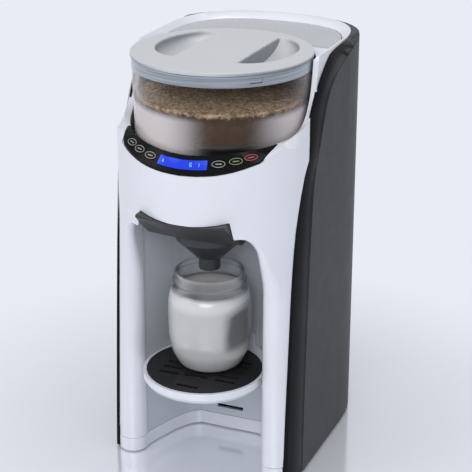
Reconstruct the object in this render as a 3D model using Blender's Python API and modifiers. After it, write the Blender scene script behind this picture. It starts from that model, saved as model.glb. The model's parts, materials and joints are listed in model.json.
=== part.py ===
"""A baby formula maker: powder container on top, bottle bay in front, water tank behind.

Run with: blender --background --python part.py
Sizes are in millimetres and multiplied by MM. The powder container's axis is the line x = 0, y = 0 of the
machine's own frame. That frame is shifted so that the object's box is centred on the world's origin.
"""

import math

import bmesh
import bpy
from mathutils import Matrix, Vector

MM = 0.001

# Clearances and mesh fineness
GAP = 0.3
FIT = 0.6
OVERRUN = 6.0
WELD = 0.01
BOOLEAN_WELD = 0.002
PARALLEL = 0.001
FACET_LARGE = 72
FACET_WHEEL = 40
FACET_MEDIUM = 36
FACET_SMALL = 20
FACET_TINY = 12
REAR_STEPS = 24
FRONT_STEPS = 24

# Overall stack
FOOT_HEIGHT = 1.4
BASE_TOP = 14.0
SEAM = 0.5
LID_TOP = 372.6

# White front housing: round about the powder container's axis, with legs that spread to the floor
NOSE_RADIUS = 91.0
FLARE = 7.0
FLARE_TOP = 230.0
SHELL_WALL = 2.5
STRIP_WALL = 5.0
RECESS_RADIUS = 79.5
KNEE_RADIUS = 84.5
LIP_RADIUS = 83.0

# Crown: the white rim that runs round behind the lid, a superellipse in plan
CROWN_HALF_WIDTH = 83.8
CROWN_DEPTH = 87.4
CROWN_CENTRE_Y = 65.3
CROWN_POWER = 2.6
CROWN_FRONT_Y = -15.2
CROWN_SKIRT_BOTTOM = 345.0
DECK_TOP = 367.5
DECK_WALL = 3.0
RIM_INSET_SIDE = 1.6
RIM_INSET_BACK = 2.4
DECK_HALF_WIDTH = 77.5
DECK_DEPTH = 75.0

# Floor of the container's cut-out, by angle from the front: on the recess, at the knee and on the nose
RIM_ANGLES = (0, 10, 20, 30, 43, 50, 56, 62, 68, 73, 77, 81, 85, 89, 93, 98)
RIM_STRAIGHT_ANGLE = 56
RIM_BLEND_ANGLE = 17
RIM_FINE_ANGLE = 2
RIM_LOW = 303.3
RIM_RISE = LID_TOP - RIM_LOW
RIM_INNER_SHARES = (
    0.0, 0.008, 0.025, 0.043, 0.066, 0.078, 0.091, 0.105, 0.125, 0.150, 0.185, 0.240, 0.330, 0.470, 0.640, 1.1)
RIM_KNEE_SHARES = (
    -0.083, -0.075, -0.055, -0.026, 0.024, 0.057, 0.086, 0.118, 0.169, 0.198, 0.227, 0.270, 0.342, 0.472, 0.645, 1.1)
RIM_OUTER_SHARES = (
    -0.190, -0.182, -0.160, -0.115, -0.030, 0.030, 0.080, 0.053, -0.004, -0.105, -0.206, -0.307, -0.394, -0.452,
    -0.481, -0.481)

# Dark side panels: the front edge and the side face's edge, as shares of the panel's depth and height
PANEL_HALF_WIDTH = 92.0
PANEL_BACK_DEPTH = 91.0
PANEL_WALL = 2.7
PANEL_EDGE_WALL = 1.5
PANEL_FLANGE_WALL = 3.5
PANEL_BOTTOM = 2.8
PANEL_TOP = 371.0
PANEL_FLANGE_X = 76.0
PANEL_FRONT_Y = -55.0
PANEL_BACK_Y = 160.0
PANEL_SPLIT_X = 52.0
PANEL_HOLLOW_RADIUS = 85.0
PANEL_CURVE_STEPS = 3
PANEL_INNER_SHARES = (
    (0.0, 0.0), (0.017, 0.172), (0.051, 0.454), (0.080, 0.617), (0.124, 0.747), (0.184, 0.821), (0.218, 0.886),
    (0.287, 0.938), (0.346, 0.967), (0.390, 0.983), (0.427, 0.993), (0.498, 0.998), (0.571, 1.0), (1.0, 1.0))
PANEL_OUTER_SHARES = (
    (0.093, 0.0), (0.098, 0.172), (0.123, 0.449), (0.144, 0.612), (0.171, 0.733), (0.228, 0.807), (0.274, 0.867),
    (0.316, 0.908), (0.367, 0.935), (0.428, 0.953), (0.488, 0.966), (0.558, 0.977), (0.642, 0.986), (1.0, 0.989))

# Rear cover
VENT_ROWS = 6
VENT_BOTTOM = 62.0
VENT_PITCH = 7.0
VENT_HEIGHT = 3.0
VENT_HALF_WIDTH = 24.0

# Bottle bay, with its side walls as shares of its half width and depth
BAY_HALF_WIDTH = 57.5
BAY_SPLIT_Y = -44.0
BAY_BACK_Y = 16.5
BAY_TOP = 234.5
BAY_CORNER_HEIGHT = 20.5
BAY_CORNER_STEPS = 5
BAY_SPREAD = 1.4
BAY_WALL_SHARES = ((0.997, 0.066), (0.930, 0.298), (0.817, 0.620), (0.725, 0.800), (0.635, 0.919), (0.504, 1.0))
TIP_RADIUS = 10.0
TIP_BASE_RADIUS = 13.0
TIP_CORNER_RADIUS = 4.0
TIP_NARROWS_FROM = 176.0
TIP_NARROWING_STEPS = 3
TIP_STEPS = 7

# Funnel and its drawer
OUTLET_Y = -29.5
HOLDER_HALF_WIDTH = 43.3
HOLDER_TOP_HALF_WIDTH = 40.2
HOLDER_TOP = 244.0
HOLDER_TIP_RISE = 5.0
HOLDER_TOP_STEPS = 4
HOLDER_BOTTOM = 223.0
HOLDER_FLOOR = 3.0
HOLDER_BACK_Y = 8.0
HOLDER_BACK_WALL = 2.8
HOLDER_CORNER_X = 38.0
HOLDER_CORNER_Y = -9.0
APRON_RADIUS = 250.0
APRON_FRONT_Y = -91.0
APRON_SLOPE = 1.2
GROOVE_DEPTH = 6.3
GROOVE_WALL = 2.5
NOTCH_BACK_Y = -74.0
DRAWER_STOP_GAP = 1.5
FUNNEL_RIM_RADIUS = 30.2
FUNNEL_FLANGE_RADIUS = 33.0
FUNNEL_FLANGE_THICKNESS = 2.0
FUNNEL_FLANGE_ROOM = 2.0
FUNNEL_CONE_TOP = 213.8
FUNNEL_CONE_BOTTOM = 196.0
FUNNEL_NECK_RADIUS = 12.5
SPOUT_RADIUS = 9.6
SPOUT_BOTTOM = 184.2
FUNNEL_WALL = 2.0
FUNNEL_FILLET_SHARE = 0.6

# Drip tray and grid, with the slots as shares of the grid's radius: across, back from the middle and length
TRAY_Y = -42.3
TRAY_RADIUS = 54.6
TRAY_TOP = 93.0
TRAY_HEIGHT = 11.5
TRAY_FLOOR = 2.6
TRAY_ROUND = 6.0
TRAY_ROUND_SHARES = ((-1.0, 0.0), (-0.33, 0.17), (0.0, 0.48))
TRAY_FRONT_STEPS = 26
TRAY_FRONT_END = 8
TRAY_SIDE_SHARES = ((0.883, 0.354), (0.783, 0.628), (0.687, 0.793), (0.583, 0.909), (0.470, 0.995))
TRAY_WELL_LEDGE = 3.0
TRAY_SLOT_DEPTHS = (0.0, 32.0, 64.0)
TRAY_SLOT_REACH = 13.0
TRAY_SLOT_HALF = 1.9
GRID_RADIUS = 51.6
GRID_THICKNESS = 3.0
GRID_SLOT_WIDTH = 3.4
GRID_SLOT_SHARES = (
    (-0.543, -0.033, 0.213), (-0.475, -0.227, 0.368), (-0.475, -0.430, 0.368), (0.029, -0.789, 0.388),
    (0.591, 0.403, 0.252), (0.610, 0.219, 0.252), (0.610, 0.0, 0.252), (0.543, -0.207, 0.349),
    (0.543, -0.391, 0.349))
GRID_OVAL_SHARES = (0.010, -0.391, 0.446, 0.165)
UPRIGHT_TOP = 106.0
UPRIGHT_HALF_WIDTH = 26.0
UPRIGHT_THICKNESS = 4.5

# Bottle, with its outside and its neck as shares of the base radius or neck radius and of the height
BOTTLE_BASE_RADIUS = 25.0
BOTTLE_NECK_RADIUS = 31.0
BOTTLE_THREAD_RADIUS = 32.7
BOTTLE_TOP = 182.3
BOTTLE_WALL = 1.8
BOTTLE_FLOOR = 2.4
BOTTLE_LIP = 1.0
BOTTLE_OUTER_SHARES = ((1.0, 0.0), (1.15, 0.03), (1.38, 0.16), (1.48, 0.34), (1.5, 0.66), (1.42, 0.78), (1.26, 0.825))
BOTTLE_NECK_SHARES = (0.84, 0.88, 0.895, 0.925, 0.94)

# Powder container, lid and what turns inside
SEAT_TOP = 283.0
SEAT_WALL = 3.0
SEAT_RADIUS = 81.9
SEAT_CUP_TOP = 294.5
CONTAINER_TOP = 359.5
CONTAINER_TOP_RADIUS = 77.0
CONTAINER_SIDE_RADIUS = 75.8
CONTAINER_BASE_RADIUS = 72.0
CONTAINER_SHOULDER = 18.0
CONTAINER_WALL = 2.2
CONTAINER_FLOOR = 3.0
COLLAR_RADIUS = 77.6
COLLAR_INNER_RADIUS = 75.4
COLLAR_TOP = 369.3
LID_RADIUS = 78.3
LID_PLATE = 3.0
LID_EDGE = 1.0
LID_SKIRT_RADIUS = 75.1
LID_SKIRT_WALL = 2.0
LID_SKIRT_BOTTOM = 362.0
GASKET_HEIGHT = 1.6
SCOOP_Y = 11.0
SCOOP_INNER_X = 28.5
SCOOP_REACH = 33.0
SCOOP_HALF_LENGTH = 47.5
SCOOP_DEPTH = 13.0
SCOOP_WALL = 2.2
SCOOP_SEGMENTS = 20
SCOOP_RINGS = 8
WHEEL_RADIUS = 46.0
WHEEL_HEIGHT = 10.0
WHEEL_POCKETS = 8
POCKET_RADIUS = 7.5
OUTLET_MARGIN = 0.7
HUB_RADIUS = 8.5
HUB_GAP = 0.5
SOCKET_RADIUS = 5.4
SOCKET_DEPTH = 7.5
DOG_RADIUS = 4.8
DOG_SIDES = 6
DOG_SHORT = 0.8
SHAFT_RADIUS = 3.5
COVER_WALL = 2.2
COVER_SIDE_GAP = 0.8
COVER_RIM_RADIUS = 73.0
COVER_RIM_RISE = 11.0
COVER_HOLE_MARGIN = 1.0
STIRRER_REACH = 42.0
STIRRER_BARS = 2
STIRRER_TURN = 0.3
STIRRER_RISE = 18.0
STIRRER_LIFT = 1.5
STIRRER_HUB_HEIGHT = 8.0
STIRRER_BAR_HALF = 1.6
STIRRER_BAR_HEIGHT = 4.0
STIRRER_BAR_LIFT = 1.0
POWDER_TOP = 339.0
POWDER_CROWN = 2.5
POWDER_MID_SHARE = 0.6
POWDER_SIDE_GAP = 1.2
POWDER_TAPER = 0.4
POWDER_ROOM = 3.0
POWDER_DOME = 4.0

# Control panel, its display and buttons
CONTROL_END_ANGLE = 57
CONTROL_END_MARGIN = 0.3
CONTROL_TAPER_ANGLE = 44
CONTROL_TIP_RADIUS = 81.6
CONTROL_DEPTH = 2.0
CONTROL_POCKET_MARGIN = 2.0
CONTROL_INNER_RADIUS = 79.9
CONTROL_OUTER_RADIUS = 90.8
DISPLAY_HALF_ANGLE = 14.6
DISPLAY_MARGIN_ANGLE = 0.25
DISPLAY_STEPS = 12
DISPLAY_INNER_RADIUS = 82.6
DISPLAY_OUTER_RADIUS = 88.0
DISPLAY_SUNK = 0.1
DISPLAY_DEPTH = 3.0
BOARD_DEPTH = 5.6
BOARD_THICKNESS = 1.5
SLOT_HALF_ANGLE = 46
SLOT_MARGIN_ANGLE = 0.5
SLOT_INNER_RADIUS = 81.0
SLOT_OUTER_RADIUS = 88.4
BUTTON_RADIUS_FROM_AXIS = 85.4
BUTTON_ANGLES = {
    "left_1": -39.0, "left_2": -30.5, "left_3": -21.0, "right_1": 21.0, "right_2": 30.5, "right_3": 39.0}
BUTTON_LENGTH = 12.4
BUTTON_WIDTH = 7.2
BUTTON_PROUD = 0.5
BUTTON_STEM = 1.5

# Drive: a motor pinion turns the gear on the container's axis
GEAR_TEETH = 28
PINION_TEETH = 12
GEAR_MODULE = 1.0
TOOTH_ADDENDUM = 0.4
TOOTH_DEDENDUM = 0.9
TOOTH_TIP_SHARE = 0.12
TOOTH_ROOT_SHARE = 0.21
GEAR_BOTTOM = 271.0
GEAR_THICKNESS = 6.0
PIN_SHARE = 0.7
PIN_OVERLAP = 1.0
PINION_SHAFT_RADIUS = 1.5
CASE_BOTTOM = 266.0
CASE_WALL = 2.5
CASE_FRONT_WALL = 1.8
CASE_HALF_WIDTH = 24.0
CASE_FRONT_Y = -17.8
CASE_BACK_Y = 34.0
MOTOR_RADIUS = 13.5
MOTOR_BOTTOM = 246.0
MOTOR_EDGE = 2.0
CHUTE_RADIUS = 10.5
CHUTE_WALL = 2.0
CHUTE_BOTTOM = 246.0

# Inner frame
FRAME_INNER_RADIUS = 82.2
FRAME_WALL = 2.5
FRAME_TOP = 344.0
FRAME_FRONT_ANGLE = 77
POST_RADIUS = 4.9
POST_HEIGHT = 26.0
POST_CIRCLE = 79.2
POST_ANGLES = (92, 130, 230, 268)

# Water tank, its lid and valve
TANK_FRONT_RADIUS = 86.8
TANK_HALF_WIDTH = 76.0
TANK_DEPTH = 73.2
TANK_CORNER_X = 62.0
TANK_CORNER_STEP = 1.0
TANK_WALL = 2.2
TANK_BOTTOM = 33.3
TANK_TOP = 364.2
TANK_LID_GAP = 0.5
TANK_LID_REAR_GAP = 1.5
TANK_LID_THICKNESS = 2.4
TANK_LID_FRONT_RADIUS = 84.5
TANK_LID_STEPS = 28
HINGE_SETBACK = 1.2
VALVE_Y = 112.0
VALVE_STEM_RADIUS = 3.0
VALVE_HEAD_RADIUS = 8.0
VALVE_HEAD_THICKNESS = 1.6
VALVE_STEM_DROP = 5.0
VALVE_PIN_GAP = 0.4
DOCK_INSET = 3.0
DOCK_WALL = 2.5
DOCK_TOP_WALL = 3.0
DOCK_SOCKET_MARGIN = 1.2
DOCK_PIN_MARGIN = 1.0

# Heater, pump, tubes and nozzle
HEATER_X = -34.0
HEATER_Y = 46.0
HEATER_RADIUS = 20.0
HEATER_TOP = 96.0
HEATER_EDGE = 4.0
HEATER_PORT = 7.0
PUMP_X = 30.0
PUMP_Y = 46.0
PUMP_RADIUS = 18.0
PUMP_TOP = 62.0
PUMP_HEAD_HEIGHT = 18.0
PUMP_HEAD_SHARE = 0.6
PUMP_PORT_HEIGHT = 8.0
TUBE_RADIUS = 3.0
TUBE_BEND = 7.0
TUBE_BEND_STEPS = 4
TUBE_BEND_SHARE = 0.45
TUBE_ROUND = 2
TUBE_OVER_PUMP = 60.0
TUBE_OVER_NOZZLE = 9.0
SUPPLY_END_Y = 74.0
NOZZLE_X = -19.0
NOZZLE_RADIUS = 3.6
NOZZLE_WALL = 1.5
NOZZLE_HEAD = 4.0
NOZZLE_TOP = 257.5
NOZZLE_BOTTOM = 245.5

# Electrics
MAIN_BOARD_WIDTH = 56.0
MAIN_BOARD_BOTTOM = 120.0
MAIN_BOARD_TOP = 215.0
MAIN_BOARD_THICKNESS = 1.6
INLET_X = -26.0
SWITCH_X = 26.0
INLET_Z = 34.0
INLET_WIDTH = 26.0
INLET_HEIGHT = 18.0
INLET_LENGTH = 16.0
INLET_SUNK = 1.0
INLET_SIDE_WALL = 3.0
INLET_END_WALL = 4.0
ROCKER_LENGTH = 18.0
ROCKER_WIDTH = 11.0
ROCKER_DEPTH = 7.0
ROCKER_AXIS_DEPTH = 6.0
ROCKER_ROOM = 1.0
ROCKER_SIDE_GAP = 0.15
ROCKER_SHARES = ((-1.0, -0.9), (-0.14, -0.95), (0.03, 0.0), (-0.14, 0.95), (-1.0, 0.9))

# Base, feet and screws
FOOT_RADIUS = 7.5
FOOT_RECESS = 1.6
FOOT_INBOARD = 1.0
FOOT_BACK = 1.5
FOOT_REAR_SHARE = 0.6
BASE_FLOOR = 3.5
BASE_FLANGE_GAP = 1.0
SCREW_HEAD_RADIUS = 3.6
SCREW_HEAD_HEIGHT = 1.7
SCREW_HEAD_EDGE = 0.5
SCREW_HEAD_SHARE = 0.7
SCREW_BORE_DEPTH = 2.2
SCREW_SHANK_RADIUS = 1.5
SCREW_POINT = 1.0
SCREW_LENGTH = 15.0

# The floor of everything inside, and where the machine's frame sits so that the box is centred on the origin
INSIDE_FLOOR = FOOT_HEIGHT + BASE_FLOOR + GAP
BACK_REACH = CROWN_CENTRE_Y + PANEL_BACK_DEPTH
FRONT_REACH = TRAY_RADIUS - TRAY_Y
FRAME_SHIFT_Y = -(BACK_REACH - FRONT_REACH) / 2

for old in list(bpy.data.objects):
    bpy.data.objects.remove(old, do_unlink=True)

PARTS = bpy.data.collections.new("baby_formula_maker")
CUTTERS = bpy.data.collections.new("cutters")
bpy.context.scene.collection.children.link(PARTS)
bpy.context.scene.collection.children.link(CUTTERS)

MACHINE = bpy.data.objects.new("machine_frame", None)
MACHINE.location = (0, FRAME_SHIFT_Y * MM, 0)
PARTS.objects.link(MACHINE)


# Materials
def material(name, colour, roughness, metallic=0.0, transmission=0.0):
    made = bpy.data.materials.get(name)
    if made:
        return made
    made = bpy.data.materials.new(name)
    made.use_nodes = True
    shader = made.node_tree.nodes["Principled BSDF"]
    shader.inputs["Base Color"].default_value = (*colour, 1)
    shader.inputs["Roughness"].default_value = roughness
    shader.inputs["Metallic"].default_value = metallic
    shader.inputs["Transmission Weight"].default_value = transmission
    return made


def white_plastic():
    return material("white_plastic", (0.78, 0.80, 0.84), 0.25)


def lid_plastic():
    return material("lid_plastic", (0.72, 0.73, 0.75), 0.3)


def liner_plastic():
    return material("liner_plastic", (0.70, 0.72, 0.76), 0.35)


def grey_plastic():
    return material("grey_plastic", (0.42, 0.43, 0.46), 0.45)


def charcoal_plastic():
    return material("charcoal_plastic", (0.045, 0.046, 0.050), 0.35)


def gloss_black():
    return material("gloss_black", (0.010, 0.009, 0.010), 0.12)


def clear_plastic():
    return material("clear_plastic", (0.86, 0.84, 0.84), 0.08, 0.0, 0.9)


def blue_grey_clear():
    return material("blue_grey_clear", (0.42, 0.50, 0.56), 0.2, 0.0, 0.5)


def milky_plastic():
    return material("milky_plastic", (0.80, 0.80, 0.80), 0.3, 0.0, 0.2)


def powder():
    return material("powder", (0.62, 0.52, 0.38), 0.9)


def display_blue():
    return material("display_blue", (0.02, 0.10, 1.0), 0.15)


def steel():
    return material("steel", (0.62, 0.62, 0.63), 0.3, 1.0)


def nylon():
    return material("nylon", (0.80, 0.79, 0.74), 0.5)


def rubber():
    return material("rubber", (0.03, 0.03, 0.032), 0.8)


def pump_black():
    return material("pump_black", (0.05, 0.05, 0.055), 0.5)


def circuit_green():
    return material("circuit_green", (0.02, 0.16, 0.07), 0.5)


def silicone():
    return material("silicone", (0.75, 0.78, 0.80), 0.45, 0.0, 0.3)


# Mesh helpers
def mesh_object(name):
    """An empty mesh among the cutters."""
    obj = bpy.data.objects.new(name, bpy.data.meshes.new(name))
    CUTTERS.objects.link(obj)
    obj.hide_render = True
    obj.display_type = "WIRE"
    return obj


def box(name, x0, x1, y0, y1, z0, z1):
    """A box given by its limits."""
    obj = mesh_object(name)
    work = bmesh.new()
    bmesh.ops.create_cube(work, size=1.0)
    sizes = Vector((x1 - x0, y1 - y0, z1 - z0)) * MM
    middle = Vector(((x0 + x1) / 2, (y0 + y1) / 2, (z0 + z1) / 2)) * MM
    bmesh.ops.scale(work, vec=sizes, verts=work.verts)
    bmesh.ops.translate(work, vec=middle, verts=work.verts)
    work.to_mesh(obj.data)
    work.free()
    return obj


def wide_box(name, half_width, y0, y1, z0, z1):
    """A box that is the same on both sides of the middle."""
    return box(name, -half_width, half_width, y0, y1, z0, z1)


def cylinder(name, radius, z0, z1, x=0.0, y=0.0, facets=FACET_SMALL, top_radius=None):
    """An upright cylinder, or a frustum when top_radius is given."""
    obj = mesh_object(name)
    work = bmesh.new()
    upper = radius if top_radius is None else top_radius
    bmesh.ops.create_cone(
        work, cap_ends=True, segments=facets, radius1=radius * MM, radius2=upper * MM, depth=(z1 - z0) * MM)
    bmesh.ops.translate(work, vec=Vector((x, y, (z0 + z1) / 2)) * MM, verts=work.verts)
    work.to_mesh(obj.data)
    work.free()
    return obj


def weld(obj, distance=WELD, turn_outwards=True):
    work = bmesh.new()
    work.from_mesh(obj.data)
    bmesh.ops.remove_doubles(work, verts=work.verts, dist=distance * MM)
    if turn_outwards:
        bmesh.ops.recalc_face_normals(work, faces=work.faces)
    work.to_mesh(obj.data)
    work.free()


def from_curve(name, curve):
    """The mesh that a curve gives."""
    maker = bpy.data.objects.new(name + "_curve", curve)
    CUTTERS.objects.link(maker)
    obj = mesh_object(name)
    obj.data = bpy.data.meshes.new_from_object(maker.evaluated_get(bpy.context.evaluated_depsgraph_get()))
    bpy.data.objects.remove(maker, do_unlink=True)
    return obj


def prism(name, outline, low, high, axis="Z"):
    """A flat outline extruded from low to high along an axis. On X the outline is (y, z), on Y it is (x, z)."""
    curve = bpy.data.curves.new(name, "CURVE")
    curve.dimensions = "2D"
    curve.fill_mode = "BOTH"
    curve.extrude = (high - low) / 2 * MM
    spline = curve.splines.new("POLY")
    spline.points.add(len(outline) - 1)
    for point, (u, v) in zip(spline.points, outline):
        point.co = (u * MM, v * MM, 0, 1)
    spline.use_cyclic_u = True
    obj = from_curve(name, curve)
    turns = {
        "Z": Matrix.Identity(3),
        "X": Matrix(((0, 0, 1), (1, 0, 0), (0, 1, 0))),
        "Y": Matrix(((1, 0, 0), (0, 0, -1), (0, 1, 0))),
    }
    middle = (low + high) / 2 * MM
    shift = {"Z": Vector((0, 0, middle)), "X": Vector((middle, 0, 0)), "Y": Vector((0, middle, 0))}[axis]
    obj.data.transform(Matrix.Translation(shift) @ turns[axis].to_4x4())
    weld(obj)
    return obj


def turned(name, profile, facets=FACET_MEDIUM, x=0.0, y=0.0, closed=True):
    """A profile of (radius, height) points turned about the upright line through x, y."""
    obj = mesh_object(name)
    work = bmesh.new()
    points = [work.verts.new((radius * MM, 0, height * MM)) for radius, height in profile]
    pairs = list(zip(points, points[1:]))
    if closed:
        pairs.append((points[-1], points[0]))
    for first, second in pairs:
        work.edges.new((first, second))
    work.to_mesh(obj.data)
    work.free()
    screw = obj.modifiers.new("turn", "SCREW")
    screw.steps = facets
    screw.render_steps = facets
    screw.angle = math.tau
    screw.use_merge_vertices = True
    screw.merge_threshold = WELD * MM
    bake(obj)
    weld(obj)
    obj.data.transform(Matrix.Translation(Vector((x, y, 0)) * MM))
    return obj


def loft(name, rings):
    """A closed solid through rings of equally many points, with both ends capped."""
    obj = mesh_object(name)
    work = bmesh.new()
    rows = [[work.verts.new(Vector(point) * MM) for point in ring] for ring in rings]
    count = len(rows[0])
    for near, far in zip(rows, rows[1:]):
        for index in range(count):
            following = (index + 1) % count
            work.faces.new((near[index], near[following], far[following], far[index]))
    bmesh.ops.triangulate(work, faces=work.faces)
    work.faces.new(rows[0][::-1])
    work.faces.new(rows[-1])
    bmesh.ops.recalc_face_normals(work, faces=work.faces)
    work.to_mesh(obj.data)
    work.free()
    return obj


def tube(name, route, radius):
    """A round bar along a route of points, as a curve with filled caps."""
    curve = bpy.data.curves.new(name, "CURVE")
    curve.dimensions = "3D"
    curve.bevel_depth = radius * MM
    curve.bevel_resolution = TUBE_ROUND
    curve.use_fill_caps = True
    spline = curve.splines.new("POLY")
    spline.points.add(len(route) - 1)
    for point, place in zip(spline.points, route):
        point.co = (*(Vector(place) * MM), 1)
    obj = from_curve(name, curve)
    weld(obj)
    return obj


def bake(obj):
    """Replaces the object's mesh by what its modifiers make of it."""
    graph = bpy.context.evaluated_depsgraph_get()
    graph.update()
    obj.data = bpy.data.meshes.new_from_object(obj.evaluated_get(graph))
    obj.modifiers.clear()


def combine(obj, others, operation):
    for other in others:
        step = obj.modifiers.new(operation.lower(), "BOOLEAN")
        step.operation = operation
        step.object = other
        step.solver = "EXACT"
        bpy.context.view_layer.update()
        bake(obj)
        weld(obj, BOOLEAN_WELD, False)
    return obj


def cut(obj, *others):
    return combine(obj, others, "DIFFERENCE")


def join(obj, *others):
    return combine(obj, others, "UNION")


def keep(obj, *others):
    return combine(obj, others, "INTERSECT")


def part(obj, name, surface, origin=(0, 0, 0)):
    """Turns a worked mesh into a named part whose origin is the given point of the machine's frame."""
    CUTTERS.objects.unlink(obj)
    PARTS.objects.link(obj)
    obj.name = name
    obj.data.name = name
    obj.hide_render = False
    obj.display_type = "TEXTURED"
    place = Vector(origin) * MM
    obj.data.transform(Matrix.Translation(-place))
    obj.parent = MACHINE
    obj.location = place
    obj.data.materials.clear()
    obj.data.materials.append(surface)
    return obj


# Outline helpers, in millimetres
def arc(x, y, radius, start, end, steps):
    """Points on a circle from the start angle to the end angle, in degrees from +X."""
    angles = [math.radians(start + (end - start) * step / steps) for step in range(steps + 1)]
    return [(x + radius * math.cos(angle), y + radius * math.sin(angle)) for angle in angles]


def superellipse(half_width, depth, steps=REAR_STEPS, end=180.0):
    """The rear outline, from the right side round the back to the left side."""
    points = []
    for step in range(steps + 1):
        angle = math.radians(end * step / steps)
        along = math.cos(angle)
        across = math.sin(angle)
        x = math.copysign(half_width * abs(along) ** (2 / CROWN_POWER), along)
        points.append((x, CROWN_CENTRE_Y + depth * abs(across) ** (2 / CROWN_POWER)))
    return points


def rear_plan(half_width, depth, front_y):
    """A plan that is straight at the sides and a superellipse at the back."""
    return [(half_width, front_y)] + superellipse(half_width, depth) + [(-half_width, front_y)]


def mirrored(right):
    """The right half of an outline followed by its mirror image."""
    return list(right) + [(-x, y) for x, y in reversed(right)]


def grown(outline, distance):
    """The outline moved outwards by a distance. An edge that the move turns round is dropped."""
    area = sum(a[0] * b[1] - b[0] * a[1] for a, b in zip(outline, outline[1:] + outline[:1]))
    side = distance if area > 0 else -distance
    lines = []
    for here, after in zip(outline, outline[1:] + outline[:1]):
        along = (Vector(after) - Vector(here)).normalized()
        lines.append((Vector(here) + Vector((along.y, -along.x)) * side, along))
    while True:
        corners = [meeting(lines[index - 1], lines[index]) for index in range(len(lines))]
        kept = [
            line for index, line in enumerate(lines)
            if (corners[(index + 1) % len(lines)] - corners[index]).dot(line[1]) > 0]
        if len(kept) == len(lines):
            return [(corner.x, corner.y) for corner in corners]
        lines = kept


def meeting(first, second):
    """Where two lines cross. Each is a point and a direction."""
    turn = first[1].cross(second[1])
    if abs(turn) < PARALLEL:
        return second[0]
    reach = (second[0] - first[0]).cross(second[1]) / turn
    return first[0] + first[1] * reach


def on_nose(angle, radius, height):
    """A point at an angle from the front, measured about the container's axis."""
    turn = math.radians(angle)
    return (radius * math.sin(turn), -radius * math.cos(turn), height)


def nose_radius(height):
    """The housing's radius, which grows from the flare's top down to the floor."""
    return NOSE_RADIUS + FLARE * min(max(FLARE_TOP - height, 0.0), FLARE_TOP) / FLARE_TOP


def tip_radius(height):
    """A leg tip's radius. It shrinks a little with height, and smoothly more towards the bay's top."""
    share = min(max(height, 0.0), FLARE_TOP) / FLARE_TOP
    radius = TIP_BASE_RADIUS + (TIP_RADIUS - TIP_BASE_RADIUS) * share
    narrowing = min(max((height - TIP_NARROWS_FROM) / (BAY_TOP - TIP_NARROWS_FROM), 0.0), 1.0)
    return radius + (TIP_CORNER_RADIUS - radius) * narrowing ** 2 * (3 - 2 * narrowing)


def tip_centre(half_width, radius, height):
    """Centre of a leg's rounded tip, which touches the bay's side and the housing's outside."""
    x = half_width + radius
    return Vector((x, -math.sqrt((nose_radius(height) - radius) ** 2 - x ** 2)))


def along_table(angle, shares):
    """The height at an angle, straight between the table's angles."""
    size = abs(angle)
    pairs = list(zip(RIM_ANGLES, shares))
    for (low, first), (high, second) in zip(pairs, pairs[1:]):
        if size <= high:
            return RIM_LOW + RIM_RISE * (first + (second - first) * (size - low) / (high - low))
    return RIM_LOW + RIM_RISE * pairs[-1][1]


def strip_height(angle, radius):
    """Height of the strip in front of the container, straight from the recess to the nose."""
    inner = along_table(angle, RIM_INNER_SHARES)
    outer = along_table(angle, RIM_OUTER_SHARES)
    return inner + (outer - inner) * (radius - RECESS_RADIUS) / (NOSE_RADIUS - RECESS_RADIUS)


# Large working solids
def cut_out(name, lowered=0.0, inset=0.0):
    """What is open above the nose and in front of the container. Its floor bends down at the knee."""
    top = LID_TOP + 4 * OVERRUN
    straight = [RIM_STRAIGHT_ANGLE * (2 * step / FRONT_STEPS - 1) for step in range(FRONT_STEPS + 1)]
    beyond = list(range(RIM_STRAIGHT_ANGLE, RIM_ANGLES[-1] + 1, RIM_FINE_ANGLE))[1:]
    rings = []
    for angle in [-angle for angle in reversed(beyond)] + straight + beyond:
        inner = along_table(angle, RIM_INNER_SHARES) - lowered
        knee = along_table(angle, RIM_KNEE_SHARES) - lowered
        outer = along_table(angle, RIM_OUTER_SHARES) - lowered
        shift = inset * min(max((abs(angle) - RIM_STRAIGHT_ANGLE) / RIM_BLEND_ANGLE, 0.0), 1.0)
        inner_rise = (inner - knee) / (KNEE_RADIUS - RECESS_RADIUS) * OVERRUN
        outer_fall = (knee - outer) / (NOSE_RADIUS - KNEE_RADIUS) * OVERRUN
        rings.append((
            on_nose(angle, RECESS_RADIUS - OVERRUN, inner + inner_rise),
            on_nose(angle, KNEE_RADIUS - shift, knee),
            on_nose(angle, (KNEE_RADIUS + NOSE_RADIUS) / 2 - shift, (knee + outer) / 2),
            on_nose(angle, NOSE_RADIUS - shift, outer),
            on_nose(angle, NOSE_RADIUS - shift + OVERRUN, outer - outer_fall),
            on_nose(angle, NOSE_RADIUS - shift + OVERRUN, top),
            on_nose(angle, RECESS_RADIUS - OVERRUN, top),
        ))
    return loft(name, rings)


def bay_place(shares):
    """Points on the bay's right side from shares of its half width and depth."""
    depth = BAY_BACK_Y - BAY_SPLIT_Y
    return [(BAY_HALF_WIDTH * u, BAY_SPLIT_Y + depth * v) for u, v in shares]


def notch_half_width():
    return HOLDER_HALF_WIDTH + FIT


def bay_levels():
    """Height, lift share, half width and tip radius of each of the bay's rings."""
    spring = BAY_TOP - BAY_CORNER_HEIGHT
    narrow_step = (spring - TIP_NARROWS_FROM) / TIP_NARROWING_STEPS
    heights = [-2 * OVERRUN, TIP_NARROWS_FROM / 2]
    heights += [TIP_NARROWS_FROM + narrow_step * step for step in range(TIP_NARROWING_STEPS + 1)]
    levels = [(height, 0.0, BAY_HALF_WIDTH, tip_radius(height)) for height in heights]
    inwards = BAY_HALF_WIDTH - notch_half_width()
    for step in range(1, BAY_CORNER_STEPS + 1):
        turn = math.radians(90 * step / BAY_CORNER_STEPS)
        levels.append((
            spring + BAY_CORNER_HEIGHT * math.sin(turn),
            math.sin(turn),
            BAY_HALF_WIDTH - inwards * (1 - math.cos(turn)),
            tip_radius(spring + BAY_CORNER_HEIGHT * math.sin(turn)),
        ))
    return levels


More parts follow.
